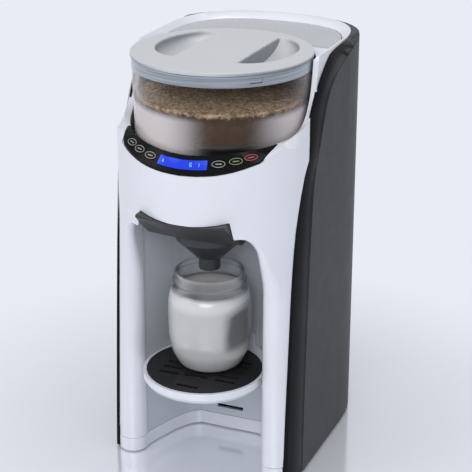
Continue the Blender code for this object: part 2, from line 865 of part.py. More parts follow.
def bay_solid(name, thickness):
    """The bottle bay's space, between the legs and under the ceiling, grown by a wall's thickness."""
    rings = []
    for height, lift, half_width, radius in bay_levels():
        centre = tip_centre(half_width, radius, height)
        start = math.degrees(math.atan2(centre.y, centre.x))
        far = centre.normalized() * nose_radius(height) * BAY_SPREAD
        side = [(min(x, half_width), y) for x, y in bay_place(BAY_WALL_SHARES)]
        right = [(far.x, -BAY_SPREAD * (NOSE_RADIUS + FLARE)), (far.x, far.y)]
        right += arc(centre.x, centre.y, radius, start, -180, TIP_STEPS) + side
        plan = grown(mirrored(right), thickness) if thickness else mirrored(right)
        rings.append([(x, y, height + thickness * lift) for x, y in plan])
    return loft(name, rings)


def smooth_line(points):
    """A Catmull-Rom curve through the points, straight on to the last one."""
    line = []
    ends = [points[0]] + points[:-1] + [points[-2]]
    for before, start, stop, after in zip(ends, ends[1:], ends[2:], ends[3:]):
        for step in range(PANEL_CURVE_STEPS):
            t = step / PANEL_CURVE_STEPS
            line.append(tuple(
                (2 * b + (c - a) * t + (2 * a - 5 * b + 4 * c - d) * t ** 2 + (3 * b - a - 3 * c + d) * t ** 3) / 2
                for a, b, c, d in zip(before, start, stop, after)))
    return line + points[-2:]


def panel_points(shares):
    """The side line of a dark panel, in depth and height."""
    depth = PANEL_BACK_Y - PANEL_FRONT_Y
    height = PANEL_TOP - PANEL_BOTTOM
    return smooth_line([(PANEL_FRONT_Y + u * depth, PANEL_BOTTOM + v * height) for u, v in shares])


def behind_line(name, line, x0, x1, inset):
    """The space behind a side line of the dark panels, moved inwards by an inset and open below."""
    outline = grown(line + [(PANEL_BACK_Y, PANEL_BOTTOM)], -inset)
    below = PANEL_BOTTOM - 2 * OVERRUN
    outline += [(outline[-1][0], below), (outline[0][0], below)]
    return prism(name, outline, x0, x1, "X")


def lip(name, extra):
    """The hidden white lip that carries the housing up to the crown, behind the edge of the dark panels."""
    return cylinder(name, LIP_RADIUS + extra, RIM_LOW - extra, LID_TOP + OVERRUN, facets=FACET_LARGE)


def tank_opening_outline(inset, rear_inset):
    """The tank's lid opening in plan: a circle's arc in front, the rear outline behind."""
    side = DECK_HALF_WIDTH - inset
    radius = TANK_LID_FRONT_RADIUS + inset
    half_angle = math.degrees(math.acos((TANK_CORNER_X - inset) / radius))
    front = arc(0, 0, radius, 180 - half_angle, half_angle, TANK_LID_STEPS)
    corner_y = front[0][1] - TANK_CORNER_STEP + inset
    return superellipse(side, DECK_DEPTH - rear_inset) + [(-side, corner_y)] + front + [(side, corner_y)]


def drawer_opening():
    """The slot in the bay's ceiling whose edges run in the funnel drawer's grooves."""
    half = HOLDER_HALF_WIDTH - GROOVE_DEPTH + GAP
    return wide_box("drawer_opening", half, -NOSE_RADIUS - OVERRUN, HOLDER_BACK_Y + DRAWER_STOP_GAP,
                    HOLDER_BOTTOM, BAY_TOP + SHELL_WALL + OVERRUN)


# White front housing
def nose_body(name, wall, bottom, top):
    """The housing's round body, moved in by a wall's thickness."""
    low_radius = nose_radius(bottom) - wall
    return turned(name, [
        (0, bottom), (low_radius, bottom), (NOSE_RADIUS - wall, FLARE_TOP), (NOSE_RADIUS - wall, top), (0, top)],
        FACET_LARGE, closed=False)


def not_white():
    """Everything behind the housing's rear edge: all of it above, and beside the panels' flanges below."""
    edge = panel_points(PANEL_INNER_SHARES)
    reach = NOSE_RADIUS + FLARE + OVERRUN
    upper = [(max(y, BAY_SPLIT_Y), z) for y, z in edge]
    solid = behind_line("behind_housing", upper, -reach, reach, -GAP)
    near = PANEL_FLANGE_X - GAP
    join(solid, behind_line("right_flange_room", edge, near, reach + GAP, -GAP))
    join(solid, behind_line("left_flange_room", edge, -reach - GAP, -near, -GAP))
    return cut(solid, lip("lip", 0.0))


def crown_dish():
    """The sunk deck inside the crown's rim."""
    low_ring = rear_plan(DECK_HALF_WIDTH, DECK_DEPTH, -OVERRUN)
    high_ring = rear_plan(CROWN_HALF_WIDTH - RIM_INSET_SIDE, CROWN_DEPTH - RIM_INSET_BACK, -OVERRUN)
    return loft("dish", [
        [(x, y, DECK_TOP) for x, y in low_ring],
        [(x, y, LID_TOP) for x, y in high_ring],
        [(x, y, LID_TOP + OVERRUN) for x, y in grown(high_ring, GAP)],
    ])


def drawer_outline(bottom, extra):
    """The drawer seen from the front: it narrows upwards, and its upper corners stand up as two tips."""
    half = HOLDER_HALF_WIDTH + extra
    outline = [(half, bottom), (half, BAY_TOP)]
    for step in range(HOLDER_TOP_STEPS, 0, -1):
        share = step / HOLDER_TOP_STEPS
        outline.append(((HOLDER_TOP_HALF_WIDTH + extra) * share, HOLDER_TOP + extra + HOLDER_TIP_RISE * share ** 2))
    return mirrored(outline)


def drawer_notch():
    """The gap in the front wall that the funnel drawer's dark apron fills."""
    return prism("notch", drawer_outline(HOLDER_BOTTOM, FIT), -NOSE_RADIUS - OVERRUN, NOTCH_BACK_Y, "Y")


def front_housing():
    body = nose_body("front_housing", 0.0, BASE_TOP + SEAM, CROWN_SKIRT_BOTTOM + SEAM)
    cut(body, not_white())
    crown_plan = rear_plan(CROWN_HALF_WIDTH, CROWN_DEPTH, CROWN_FRONT_Y)
    join(body, prism("crown", crown_plan, CROWN_SKIRT_BOTTOM, LID_TOP))
    cut(body, cut_out("container_opening"))
    cut(body, cylinder("recess", RECESS_RADIUS, SEAT_TOP - OVERRUN, LID_TOP + OVERRUN, facets=FACET_LARGE))
    cut(body, bay_solid("bay", 0.0))

    leg_wall = bay_solid("leg_wall", SHELL_WALL)
    reach = NOSE_RADIUS + FLARE
    keep(leg_wall, wide_box("leg_wall_limit", reach, -2 * reach, BAY_SPLIT_Y, -OVERRUN, LID_TOP))
    hollow = nose_body("hollow", SHELL_WALL, BASE_TOP - OVERRUN, CROWN_SKIRT_BOTTOM + 2 * SEAM)
    cut(hollow, leg_wall, cut_out("under_strip", STRIP_WALL, SHELL_WALL))
    cut(body, hollow)

    inner_plan = rear_plan(CROWN_HALF_WIDTH - SHELL_WALL, CROWN_DEPTH - SHELL_WALL, CROWN_FRONT_Y + SHELL_WALL)
    under_crown = prism("under_crown", inner_plan, CROWN_SKIRT_BOTTOM - OVERRUN, DECK_TOP - DECK_WALL)
    cut(under_crown, cut_out("under_shoulder", STRIP_WALL, SHELL_WALL))
    cut(body, under_crown, crown_dish())
    cut(body, prism(
        "tank_opening", tank_opening_outline(0.0, 0.0), CROWN_SKIRT_BOTTOM - 2 * OVERRUN, LID_TOP + OVERRUN))
    cut(body, drawer_notch(), drawer_opening(), control_pocket(), stem_slot())
    return part(body, "front_housing", white_plastic())


def bay_liner():
    """The bay's inner wall and ceiling, behind the legs' tips."""
    body = bay_solid("bay_liner", SHELL_WALL)
    cut(body, bay_solid("bay_space", 0.0))
    keep(body, wide_box("liner_limit", NOSE_RADIUS, BAY_SPLIT_Y + GAP, NOSE_RADIUS, BASE_TOP + SEAM, LID_TOP))
    cut(body, drawer_opening())
    for number, depth in enumerate(TRAY_SLOT_DEPTHS):
        height = TRAY_TOP - TRAY_HEIGHT / 2 - depth
        cut(body, wide_box(
            "tray_slot_%d" % number, TRAY_SLOT_REACH, BAY_BACK_Y - OVERRUN, BAY_BACK_Y + OVERRUN,
            height - TRAY_SLOT_HALF, height + TRAY_SLOT_HALF))
    return part(body, "bay_liner", liner_plastic())


# Dark shell
def shoulder_radius(angle, height):
    """Radius of the white surface at a height: the nose, and above it the slope up to the knee."""
    outer = along_table(angle, RIM_OUTER_SHARES)
    knee = along_table(angle, RIM_KNEE_SHARES)
    share = min(max((height - outer) / (knee - outer), 0.0), 1.0)
    return nose_radius(height) - (NOSE_RADIUS - KNEE_RADIUS) * share


def panel_edge_x(y, z):
    """How far out the panel's front edge lies: on the nose and shoulder below, beside the crown above."""
    angle = math.degrees(math.acos(min(max(-y / NOSE_RADIUS, -1.0), 1.0)))
    across = max(shoulder_radius(angle, z) ** 2 - y ** 2, 0.0)
    return max(math.sqrt(across), CROWN_HALF_WIDTH + GAP)


def panel_skin(name):
    """The panel as a full solid: a side face, a slanted front band and a flange behind it."""
    inner = panel_points(PANEL_INNER_SHARES) + [(PANEL_BACK_Y, PANEL_BOTTOM)]
    outer = panel_points(PANEL_OUTER_SHARES) + [(PANEL_BACK_Y, PANEL_BOTTOM)]
    body = loft(name, [
        [(PANEL_SPLIT_X, y, z) for y, z in inner],
        [(panel_edge_x(y, z), y, z) for y, z in inner],
        [(PANEL_HALF_WIDTH, y, z) for y, z in outer],
    ])
    plan = rear_plan(PANEL_HALF_WIDTH + WELD, PANEL_BACK_DEPTH, 2 * PANEL_FRONT_Y)
    return keep(body, prism(name + "_plan", plan, 0, LID_TOP))


def panel_hollow(name):
    """What is open behind the side face, the front band and the flange."""
    inner = panel_points(PANEL_INNER_SHARES)
    outer = panel_points(PANEL_OUTER_SHARES)
    front = 2 * PANEL_FRONT_Y
    depth = PANEL_BACK_DEPTH - PANEL_WALL
    side = PANEL_HALF_WIDTH - PANEL_WALL
    behind_face = behind_line(name + "_face", outer, 0, side, PANEL_EDGE_WALL)
    keep(behind_face, prism(name + "_face_plan", rear_plan(side, depth, front), -3 * OVERRUN, LID_TOP))
    behind_band = behind_line(name + "_band", inner, 0, PANEL_HALF_WIDTH, PANEL_FLANGE_WALL - GAP)
    keep(behind_band, cylinder(
        name + "_round", PANEL_HOLLOW_RADIUS, -3 * OVERRUN, LID_TOP, facets=FACET_LARGE))
    behind_flange = behind_line(name + "_flange", inner, 0, RECESS_RADIUS, PANEL_FLANGE_WALL)
    keep(behind_flange, prism(
        name + "_flange_plan", rear_plan(RECESS_RADIUS, depth - GAP, front), -3 * OVERRUN, LID_TOP))
    return behind_face, behind_band, behind_flange


def side_panel(name, side):
    body = panel_skin(name)
    cut(body, lip(name + "_lip", GAP), *panel_hollow(name))
    cut(body, cylinder(
        name + "_seat", SEAT_RADIUS + FIT, SEAT_TOP - SEAT_WALL - FIT, RIM_LOW + SEAM, facets=FACET_LARGE))
    crown_plan = rear_plan(CROWN_HALF_WIDTH + GAP, CROWN_DEPTH + GAP, CROWN_FRONT_Y - GAP)
    cut(body, prism(name + "_crown", crown_plan, CROWN_SKIRT_BOTTOM - SEAM, LID_TOP + OVERRUN))
    front = 2 * PANEL_FRONT_Y
    cut(body, box(name + "_inside", 0, PANEL_FLANGE_X, front, CROWN_CENTRE_Y, -OVERRUN, LID_TOP + OVERRUN))
    cut(body, box(name + "_split", 0, PANEL_SPLIT_X, front, 2 * PANEL_BACK_Y, -OVERRUN, LID_TOP + OVERRUN))
    if side < 0:
        body.data.transform(Matrix.Diagonal((-1, 1, 1, 1)))
        body.data.flip_normals()
    return part(body, name, charcoal_plastic())


def rear_hole(name, x, z, width, height):
    """A square hole through the rear cover."""
    return box(name, x - width / 2, x + width / 2, CROWN_CENTRE_Y, 2 * PANEL_BACK_Y, z - height / 2, z + height / 2)


def rear_cover():
    plan = rear_plan(PANEL_HALF_WIDTH, PANEL_BACK_DEPTH, CROWN_CENTRE_Y)
    body = prism("rear_cover", plan, PANEL_BOTTOM, PANEL_TOP)
    inner_plan = rear_plan(PANEL_HALF_WIDTH - PANEL_WALL, PANEL_BACK_DEPTH - PANEL_WALL, CROWN_CENTRE_Y - OVERRUN)
    cut(body, prism("rear_inside", inner_plan, -OVERRUN, LID_TOP + OVERRUN))
    keep(body, wide_box(
        "rear_limit", PANEL_SPLIT_X - GAP, CROWN_CENTRE_Y, 2 * PANEL_BACK_Y, 0, LID_TOP))
    cut(body, rear_hole("inlet_hole", INLET_X, INLET_Z, INLET_WIDTH, INLET_HEIGHT))
    cut(body, rear_hole(
        "switch_hole", SWITCH_X, INLET_Z, ROCKER_WIDTH + 2 * ROCKER_SIDE_GAP, ROCKER_LENGTH + 2 * ROCKER_ROOM))
    for row in range(VENT_ROWS):
        height = VENT_BOTTOM + VENT_HEIGHT / 2 + row * VENT_PITCH
        cut(body, rear_hole("vent_%d" % row, 0, height, 2 * VENT_HALF_WIDTH, VENT_HEIGHT))
    return part(body, "rear_cover", charcoal_plastic())


# Base
def base_tip():
    """Centre and radius of a leg's tip at the floor."""
    radius = tip_radius(0)
    return tip_centre(BAY_HALF_WIDTH, radius, BASE_TOP), radius


def base_outline():
    """The whole footprint, under the legs and inside the dark panels."""
    front = PANEL_FRONT_Y - GAP
    half = PANEL_FLANGE_X - BASE_FLANGE_GAP
    centre, radius = base_tip()
    end = math.degrees(math.asin((front - centre.y) / radius))
    tip = arc(centre.x, centre.y, radius, -180, end, TIP_STEPS)
    inside = PANEL_HALF_WIDTH - PANEL_WALL - GAP
    depth = PANEL_BACK_DEPTH - PANEL_WALL - GAP
    flange_back = panel_points(PANEL_OUTER_SHARES)[0][0] + PANEL_EDGE_WALL + FIT
    rear = [(half, front), (half, flange_back), (inside, flange_back)]
    rear += superellipse(inside, depth, REAR_STEPS // 2, 90.0)[:-1]
    right = list(reversed(bay_place(BAY_WALL_SHARES))) + tip + rear
    return right + [(0.0, CROWN_CENTRE_Y + depth)] + [(-x, y) for x, y in reversed(right)]


def base_plate():
    outline = base_outline()
    body = prism("base_plate", outline, FOOT_HEIGHT, BASE_TOP)
    cut(body, prism("base_inside", grown(outline, -SHELL_WALL), FOOT_HEIGHT + BASE_FLOOR, BASE_TOP + OVERRUN))
    for number, (x, y) in enumerate(foot_places()):
        cut(body, cylinder("foot_recess_%d" % number, FOOT_RADIUS + GAP, 0, FOOT_HEIGHT + FOOT_RECESS, x, y))
    for number, (x, y) in enumerate(post_places()):
        cut(body, cylinder(
            "head_bore_%d" % number, SCREW_HEAD_RADIUS + GAP, 0, FOOT_HEIGHT + SCREW_BORE_DEPTH, x, y, FACET_TINY))
        cut(body, cylinder(
            "screw_hole_%d" % number, SCREW_SHANK_RADIUS + GAP, 0, BASE_TOP, x, y, FACET_TINY))
    return part(body, "base_plate", white_plastic())


def foot_places():
    centre, _ = base_tip()
    front = (centre.x - FOOT_INBOARD, centre.y + FOOT_BACK)
    rear = (PANEL_SPLIT_X, CROWN_CENTRE_Y + PANEL_BACK_DEPTH * FOOT_REAR_SHARE)
    return [front, (-front[0], front[1]), rear, (-rear[0], rear[1])]


def post_places():
    return [on_nose(angle, POST_CIRCLE, 0)[:2] for angle in POST_ANGLES]


def feet():
    for number, (x, y) in enumerate(foot_places()):
        body = cylinder("foot", FOOT_RADIUS, 0, FOOT_HEIGHT + FOOT_RECESS - GAP, x, y, FACET_TINY)
        part(body, "rubber_foot_%d" % (number + 1), rubber())


def base_screws():
    head = FOOT_HEIGHT + SCREW_BORE_DEPTH - GAP
    low = head - SCREW_HEAD_HEIGHT
    profile = [
        (0, head + SCREW_LENGTH), (SCREW_SHANK_RADIUS, head + SCREW_LENGTH - SCREW_POINT), (SCREW_SHANK_RADIUS, head),
        (SCREW_HEAD_RADIUS, head), (SCREW_HEAD_RADIUS, low + SCREW_HEAD_EDGE),
        (SCREW_HEAD_RADIUS * SCREW_HEAD_SHARE, low), (0, low)]
    for number, (x, y) in enumerate(post_places()):
        body = turned("screw", profile, FACET_TINY, x, y, closed=False)
        part(body, "base_screw_%d" % (number + 1), steel())


# Inner frame and container seat
def inner_frame():
    body = cylinder(
        "inner_frame", FRAME_INNER_RADIUS + FRAME_WALL, INSIDE_FLOOR, FRAME_TOP, facets=FACET_LARGE)
    cut(body, cylinder("frame_inside", FRAME_INNER_RADIUS, 0, LID_TOP, facets=FACET_LARGE))
    front = -FRAME_INNER_RADIUS * math.cos(math.radians(FRAME_FRONT_ANGLE))
    cut(body, wide_box("frame_front", PANEL_HALF_WIDTH, -2 * NOSE_RADIUS, front, -OVERRUN, LID_TOP))
    cut(body, cut_out("frame_opening", STRIP_WALL + FIT, SHELL_WALL + FIT))
    edge = panel_points(PANEL_INNER_SHARES)
    keep(body, behind_line("frame_room", edge, -PANEL_HALF_WIDTH, PANEL_HALF_WIDTH, PANEL_FLANGE_WALL + FIT))
    for number, (x, y) in enumerate(post_places()):
        join(body, cylinder(
            "post_%d" % number, POST_RADIUS, INSIDE_FLOOR, INSIDE_FLOOR + POST_HEIGHT, x, y, FACET_TINY))
    for number, (x, y) in enumerate(post_places()):
        cut(body, cylinder(
            "post_hole_%d" % number, SCREW_SHANK_RADIUS + GAP, 0, INSIDE_FLOOR + SCREW_LENGTH, x, y, FACET_TINY))
    return part(body, "inner_frame", grey_plastic())


def container_seat():
    cup = RECESS_RADIUS + GAP
    low = SEAT_TOP - SEAT_WALL
    body = turned("container_seat", [
        (0, SEAT_TOP), (cup, SEAT_TOP), (cup, SEAT_CUP_TOP), (SEAT_RADIUS, SEAT_CUP_TOP), (SEAT_RADIUS, low),
        (0, low)], FACET_LARGE, closed=False)
    cut(body, cylinder("chute_hole", CHUTE_RADIUS - CHUTE_WALL, 0, LID_TOP, 0, OUTLET_Y))
    cut(body, cylinder("drive_hole", DOG_RADIUS + HUB_GAP, 0, LID_TOP, facets=FACET_TINY))
    return part(body, "container_seat", grey_plastic())


def powder_chute():
    top = SEAT_TOP - SEAT_WALL - GAP
    bore = CHUTE_RADIUS - CHUTE_WALL
    body = turned("powder_chute", [
        (CHUTE_RADIUS, top), (CHUTE_RADIUS, CHUTE_BOTTOM), (bore, CHUTE_BOTTOM), (bore, top)],
        FACET_SMALL, 0, OUTLET_Y)
    return part(body, "powder_chute", nylon())


# Powder container and lid
def powder_container():
    floor = SEAT_TOP + GAP
    inside = floor + CONTAINER_FLOOR
    wall = CONTAINER_WALL
    body = turned("powder_container", [
        (CONTAINER_TOP_RADIUS, CONTAINER_TOP), (CONTAINER_SIDE_RADIUS, floor + CONTAINER_SHOULDER),
        (CONTAINER_BASE_RADIUS, floor), (HUB_RADIUS + HUB_GAP, floor), (HUB_RADIUS + HUB_GAP, inside),
        (CONTAINER_BASE_RADIUS - wall, inside), (CONTAINER_SIDE_RADIUS - wall, floor + CONTAINER_SHOULDER),
        (CONTAINER_TOP_RADIUS - wall, CONTAINER_TOP)], FACET_LARGE)
    cut(body, cylinder("outlet", POCKET_RADIUS + OUTLET_MARGIN, 0, floor + OVERRUN, 0, OUTLET_Y))
    return part(body, "powder_container", clear_plastic())


def container_collar():
    low = CONTAINER_TOP + GAP
    body = turned("container_collar", [
        (COLLAR_RADIUS - GAP, COLLAR_TOP), (COLLAR_RADIUS, low), (COLLAR_INNER_RADIUS, low),
        (COLLAR_INNER_RADIUS, COLLAR_TOP)], FACET_LARGE)
    return part(body, "container_collar", blue_grey_clear())


def scoop_solid(name, extra, side):
    """Half of a flattened ball: the hollow for the fingers beside the lid's grip."""
    obj = mesh_object(name)
    work = bmesh.new()
    bmesh.ops.create_uvsphere(work, u_segments=SCOOP_SEGMENTS, v_segments=SCOOP_RINGS, radius=1.0)
    reach = Vector((SCOOP_REACH + extra, SCOOP_HALF_LENGTH + extra, SCOOP_DEPTH + extra)) * MM
    bmesh.ops.scale(work, vec=reach, verts=work.verts)
    work.to_mesh(obj.data)
    work.free()
    obj.data.transform(Matrix.Translation(Vector((side * SCOOP_INNER_X, SCOOP_Y, LID_TOP)) * MM))
    near = side * (SCOOP_INNER_X - extra)
    far = side * 2 * LID_RADIUS
    return keep(obj, box(
        name + "_side", min(near, far), max(near, far), -2 * LID_RADIUS, 2 * LID_RADIUS,
        LID_TOP - 2 * SCOOP_DEPTH, LID_TOP + 2 * SCOOP_DEPTH))


def lid():
    low = LID_TOP - LID_PLATE
    skirt = LID_SKIRT_RADIUS - LID_SKIRT_WALL
    body = turned("lid", [
        (0, LID_TOP), (LID_RADIUS - LID_EDGE, LID_TOP), (LID_RADIUS, LID_TOP - LID_EDGE), (LID_RADIUS, low),
        (LID_SKIRT_RADIUS, low), (LID_SKIRT_RADIUS, LID_SKIRT_BOTTOM), (skirt, LID_SKIRT_BOTTOM), (skirt, low),
        (0, low)], FACET_LARGE, closed=False)
    for side in (-1, 1):
        shell = scoop_solid("scoop_shell_%d" % side, SCOOP_WALL, side)
        keep(shell, wide_box(
            "scoop_below_%d" % side, LID_RADIUS, -LID_RADIUS, LID_RADIUS, LID_TOP - 2 * SCOOP_DEPTH,
            LID_TOP - LID_PLATE / 2))
        join(body, shell)
    for side in (-1, 1):
        cut(body, scoop_solid("scoop_%d" % side, 0.0, side))
    return part(body, "lid", lid_plastic(), (0, 0, LID_TOP))


def lid_gasket():
    top = LID_SKIRT_BOTTOM - GAP
    skirt = LID_SKIRT_RADIUS - LID_SKIRT_WALL
    body = turned("lid_gasket", [
        (LID_SKIRT_RADIUS, top), (LID_SKIRT_RADIUS, top - GASKET_HEIGHT), (skirt, top - GASKET_HEIGHT),
        (skirt, top)], FACET_MEDIUM)
    return part(body, "lid_gasket", silicone(), (0, 0, top))


# Metering inside the container
def wheel_levels():
    """Underside of the metering wheel, and underside of the plate over it."""
    low = SEAT_TOP + CONTAINER_FLOOR + 2 * GAP
    return low, low + WHEEL_HEIGHT + GAP


def metering_wheel():
    low, plate = wheel_levels()
    top = plate - GAP
    hub_low = SEAT_TOP + 2 * GAP
    body = turned("metering_wheel", [
        (0, top), (WHEEL_RADIUS, top), (WHEEL_RADIUS, low), (HUB_RADIUS, low), (HUB_RADIUS, hub_low),
        (SOCKET_RADIUS, hub_low), (SOCKET_RADIUS, hub_low + SOCKET_DEPTH), (0, hub_low + SOCKET_DEPTH)],
        FACET_WHEEL, closed=False)
    for pocket in range(WHEEL_POCKETS):
        x, y, _ = on_nose(360 / WHEEL_POCKETS * pocket, -OUTLET_Y, 0)
        cut(body, cylinder("pocket_%d" % pocket, POCKET_RADIUS, 0, LID_TOP, x, y, FACET_TINY))
    return part(body, "metering_wheel", nylon(), (0, 0, low))


def wheel_cover():
    low, plate = wheel_levels()
    top = plate + COVER_WALL
    inner = WHEEL_RADIUS + COVER_SIDE_GAP
    outer = inner + COVER_WALL
    bore = SHAFT_RADIUS + FIT
    body = turned("wheel_cover", [
        (bore, top), (outer, top), (COVER_RIM_RADIUS, top + COVER_RIM_RISE),
        (COVER_RIM_RADIUS, plate + COVER_RIM_RISE), (outer, plate), (outer, low), (inner, low), (inner, plate),
        (bore, plate)], FACET_MEDIUM)
    cut(body, cylinder("cover_hole", POCKET_RADIUS + COVER_HOLE_MARGIN, 0, LID_TOP, 0, -OUTLET_Y))
    return part(body, "wheel_cover", clear_plastic())


def stirrer():
    _, plate = wheel_levels()
    hub_low = plate + COVER_WALL + STIRRER_LIFT
    bar_low = hub_low + STIRRER_BAR_LIFT
    body = cylinder("stirrer", SHAFT_RADIUS, plate, plate + STIRRER_RISE, facets=FACET_TINY)
    join(body, cylinder("stirrer_hub", 2 * SHAFT_RADIUS, hub_low, hub_low + STIRRER_HUB_HEIGHT, facets=FACET_TINY))
    for number in range(STIRRER_BARS):
        bar = wide_box(
            "bar_%d" % number, STIRRER_REACH, -STIRRER_BAR_HALF, STIRRER_BAR_HALF, bar_low,
            bar_low + STIRRER_BAR_HEIGHT)
        bar.data.transform(Matrix.Rotation(math.pi / STIRRER_BARS * number + STIRRER_TURN, 4, "Z"))
        join(body, bar)
    return part(body, "stirrer", nylon(), (0, 0, plate))


def powder_fill():
    """The powder, with the space that the stirrer sweeps left open under it."""
    _, plate = wheel_levels()
    floor = plate + COVER_WALL + GAP
    outer = WHEEL_RADIUS + COVER_SIDE_GAP + COVER_WALL
    slope = COVER_RIM_RISE / (COVER_RIM_RADIUS - outer)
    room_top = plate + STIRRER_RISE + POWDER_ROOM
    room = STIRRER_REACH + POWDER_ROOM
    rim = CONTAINER_SIDE_RADIUS - CONTAINER_WALL - POWDER_SIDE_GAP
    body = turned("powder_fill", [
        (0, POWDER_TOP + POWDER_CROWN), (rim / 2, POWDER_TOP + POWDER_CROWN * POWDER_MID_SHARE), (rim, POWDER_TOP),
        (rim - POWDER_TAPER, floor + slope * (rim - outer) + FIT), (outer, floor), (room, floor), (room, room_top),
        (0, room_top + POWDER_DOME)], FACET_MEDIUM, closed=False)
    return part(body, "powder_fill", powder())


# Control panel
def strip_piece(name, half_angle, inner, outer, top_depth, bottom_depth, steps, clearance=0.0):
    """A slab along the strip, between two depths measured straight down. The panel's ends narrow to a point."""
    rings = []
    for step in range(steps + 1):
        angle = half_angle * (2 * step / steps - 1)
        narrowing = max(abs(angle) - CONTROL_TAPER_ANGLE, 0.0) / (CONTROL_END_ANGLE - CONTROL_TAPER_ANGLE)
        far = outer
        if narrowing > 0:
            tapered = CONTROL_OUTER_RADIUS + (CONTROL_TIP_RADIUS - CONTROL_OUTER_RADIUS) * narrowing
            far = min(outer, tapered + clearance)
        rings.append([
            on_nose(angle, radius, strip_height(angle, radius) - depth)
            for radius, depth in ((inner, top_depth), (far, top_depth), (far, bottom_depth), (inner, bottom_depth))])
    return loft(name, rings)


def control_pocket():
    return strip_piece(
        "control_pocket", CONTROL_END_ANGLE + CONTROL_END_MARGIN, RECESS_RADIUS - CONTROL_POCKET_MARGIN,
        NOSE_RADIUS + CONTROL_POCKET_MARGIN, -OVERRUN, CONTROL_DEPTH + FIT, FRONT_STEPS, GAP)


def stem_slot():
    return strip_piece(
        "stem_slot", SLOT_HALF_ANGLE, SLOT_INNER_RADIUS, SLOT_OUTER_RADIUS, 0, STRIP_WALL + 2 * OVERRUN,
        FRONT_STEPS)


def oval(name, angle, length, width, top, bottom):
    """An oval plug standing square to the strip, and its centre."""
    middle = BUTTON_RADIUS_FROM_AXIS
    centre = Vector(on_nose(angle, middle, strip_height(angle, middle)))
    across = (Vector(on_nose(angle, NOSE_RADIUS, strip_height(angle, NOSE_RADIUS))) - centre).normalized()
    along = (Vector(on_nose(angle + 1, middle, strip_height(angle + 1, middle))) - centre).normalized()
    normal = along.cross(across)
    if normal.z < 0:
        normal = -normal
    across = normal.cross(along)
    body = cylinder(name, 1.0, bottom, top)
    body.data.transform(Matrix.Diagonal((length / 2, width / 2, 1, 1)))
    turn = Matrix((along, across, normal)).transposed().to_4x4()
    body.data.transform(Matrix.Translation(centre * MM) @ turn)
    return body, centre


def control_panel():
    body = strip_piece(
        "control_panel", CONTROL_END_ANGLE, CONTROL_INNER_RADIUS, CONTROL_OUTER_RADIUS, 0, CONTROL_DEPTH,
        FRONT_STEPS)
    cut(body, strip_piece(
        "display_hole", DISPLAY_HALF_ANGLE + DISPLAY_MARGIN_ANGLE, DISPLAY_INNER_RADIUS - GAP,
        DISPLAY_OUTER_RADIUS + GAP, -OVERRUN, OVERRUN, DISPLAY_STEPS))
    for name, angle in BUTTON_ANGLES.items():
        hole, _ = oval(
            "button_hole_" + name, angle, BUTTON_LENGTH + FIT, BUTTON_WIDTH + FIT, OVERRUN, -OVERRUN)
        cut(body, hole)
    return part(body, "control_panel", gloss_black())


def display_window():
    body = strip_piece(
        "display_window", DISPLAY_HALF_ANGLE, DISPLAY_INNER_RADIUS, DISPLAY_OUTER_RADIUS, DISPLAY_SUNK,
        DISPLAY_DEPTH, DISPLAY_STEPS)
    return part(body, "display_window", display_blue())


def display_board():
    body = strip_piece(
        "display_board", SLOT_HALF_ANGLE - SLOT_MARGIN_ANGLE, SEAT_RADIUS + FIT, SLOT_OUTER_RADIUS - SEAM,
        BOARD_DEPTH, BOARD_DEPTH + BOARD_THICKNESS, FRONT_STEPS)
    return part(body, "display_board", circuit_green())


def buttons():
    for name, angle in BUTTON_ANGLES.items():
        body, centre = oval("button", angle, BUTTON_LENGTH, BUTTON_WIDTH, BUTTON_PROUD, BUTTON_PROUD - BUTTON_STEM)
        part(body, "button_" + name, gloss_black(), centre)


# Drive
def toothed(name, teeth, low, high, phase):
    """A spur wheel's solid, with narrow teeth."""
    pitch_radius = teeth * GEAR_MODULE / 2
    tip = pitch_radius + TOOTH_ADDENDUM
    root = pitch_radius - TOOTH_DEDENDUM
    tooth_points = (
        (root, -TOOTH_ROOT_SHARE), (tip, -TOOTH_TIP_SHARE), (tip, TOOTH_TIP_SHARE), (root, TOOTH_ROOT_SHARE))
    outline = []
    for tooth in range(teeth):
        for radius, share in tooth_points:
            turn = math.radians(phase + (tooth + share) * 360 / teeth)
            outline.append((radius * math.cos(turn), radius * math.sin(turn)))
    return prism(name, outline, low, high)


def centre_distance():
    return (GEAR_TEETH + PINION_TEETH) * GEAR_MODULE / 2


def drive_gear():
    high = GEAR_BOTTOM + GEAR_THICKNESS
    body = toothed("drive_gear", GEAR_TEETH, GEAR_BOTTOM, high, 90 + 180 / GEAR_TEETH)
    dog_top = SEAT_TOP + 2 * GAP + SOCKET_DEPTH - DOG_SHORT
    join(body, cylinder("dog", DOG_RADIUS, high - PIN_OVERLAP, dog_top, facets=DOG_SIDES))
    join(body, cylinder(
        "gear_pin", SHAFT_RADIUS * PIN_SHARE, CASE_BOTTOM + CASE_WALL + GAP, GEAR_BOTTOM + PIN_OVERLAP,
        facets=FACET_TINY))
    return part(body, "drive_gear", nylon(), (0, 0, GEAR_BOTTOM))


def motor_pinion():
    y = centre_distance()
    body = toothed("motor_pinion", PINION_TEETH, GEAR_BOTTOM, GEAR_BOTTOM + GEAR_THICKNESS, -90)
    body.data.transform(Matrix.Translation(Vector((0, y, 0)) * MM))
    join(body, cylinder(
        "pinion_shaft", PINION_SHAFT_RADIUS, CASE_BOTTOM + GAP, GEAR_BOTTOM + PIN_OVERLAP, 0, y, FACET_TINY))
    return part(body, "motor_pinion", nylon(), (0, y, GEAR_BOTTOM))


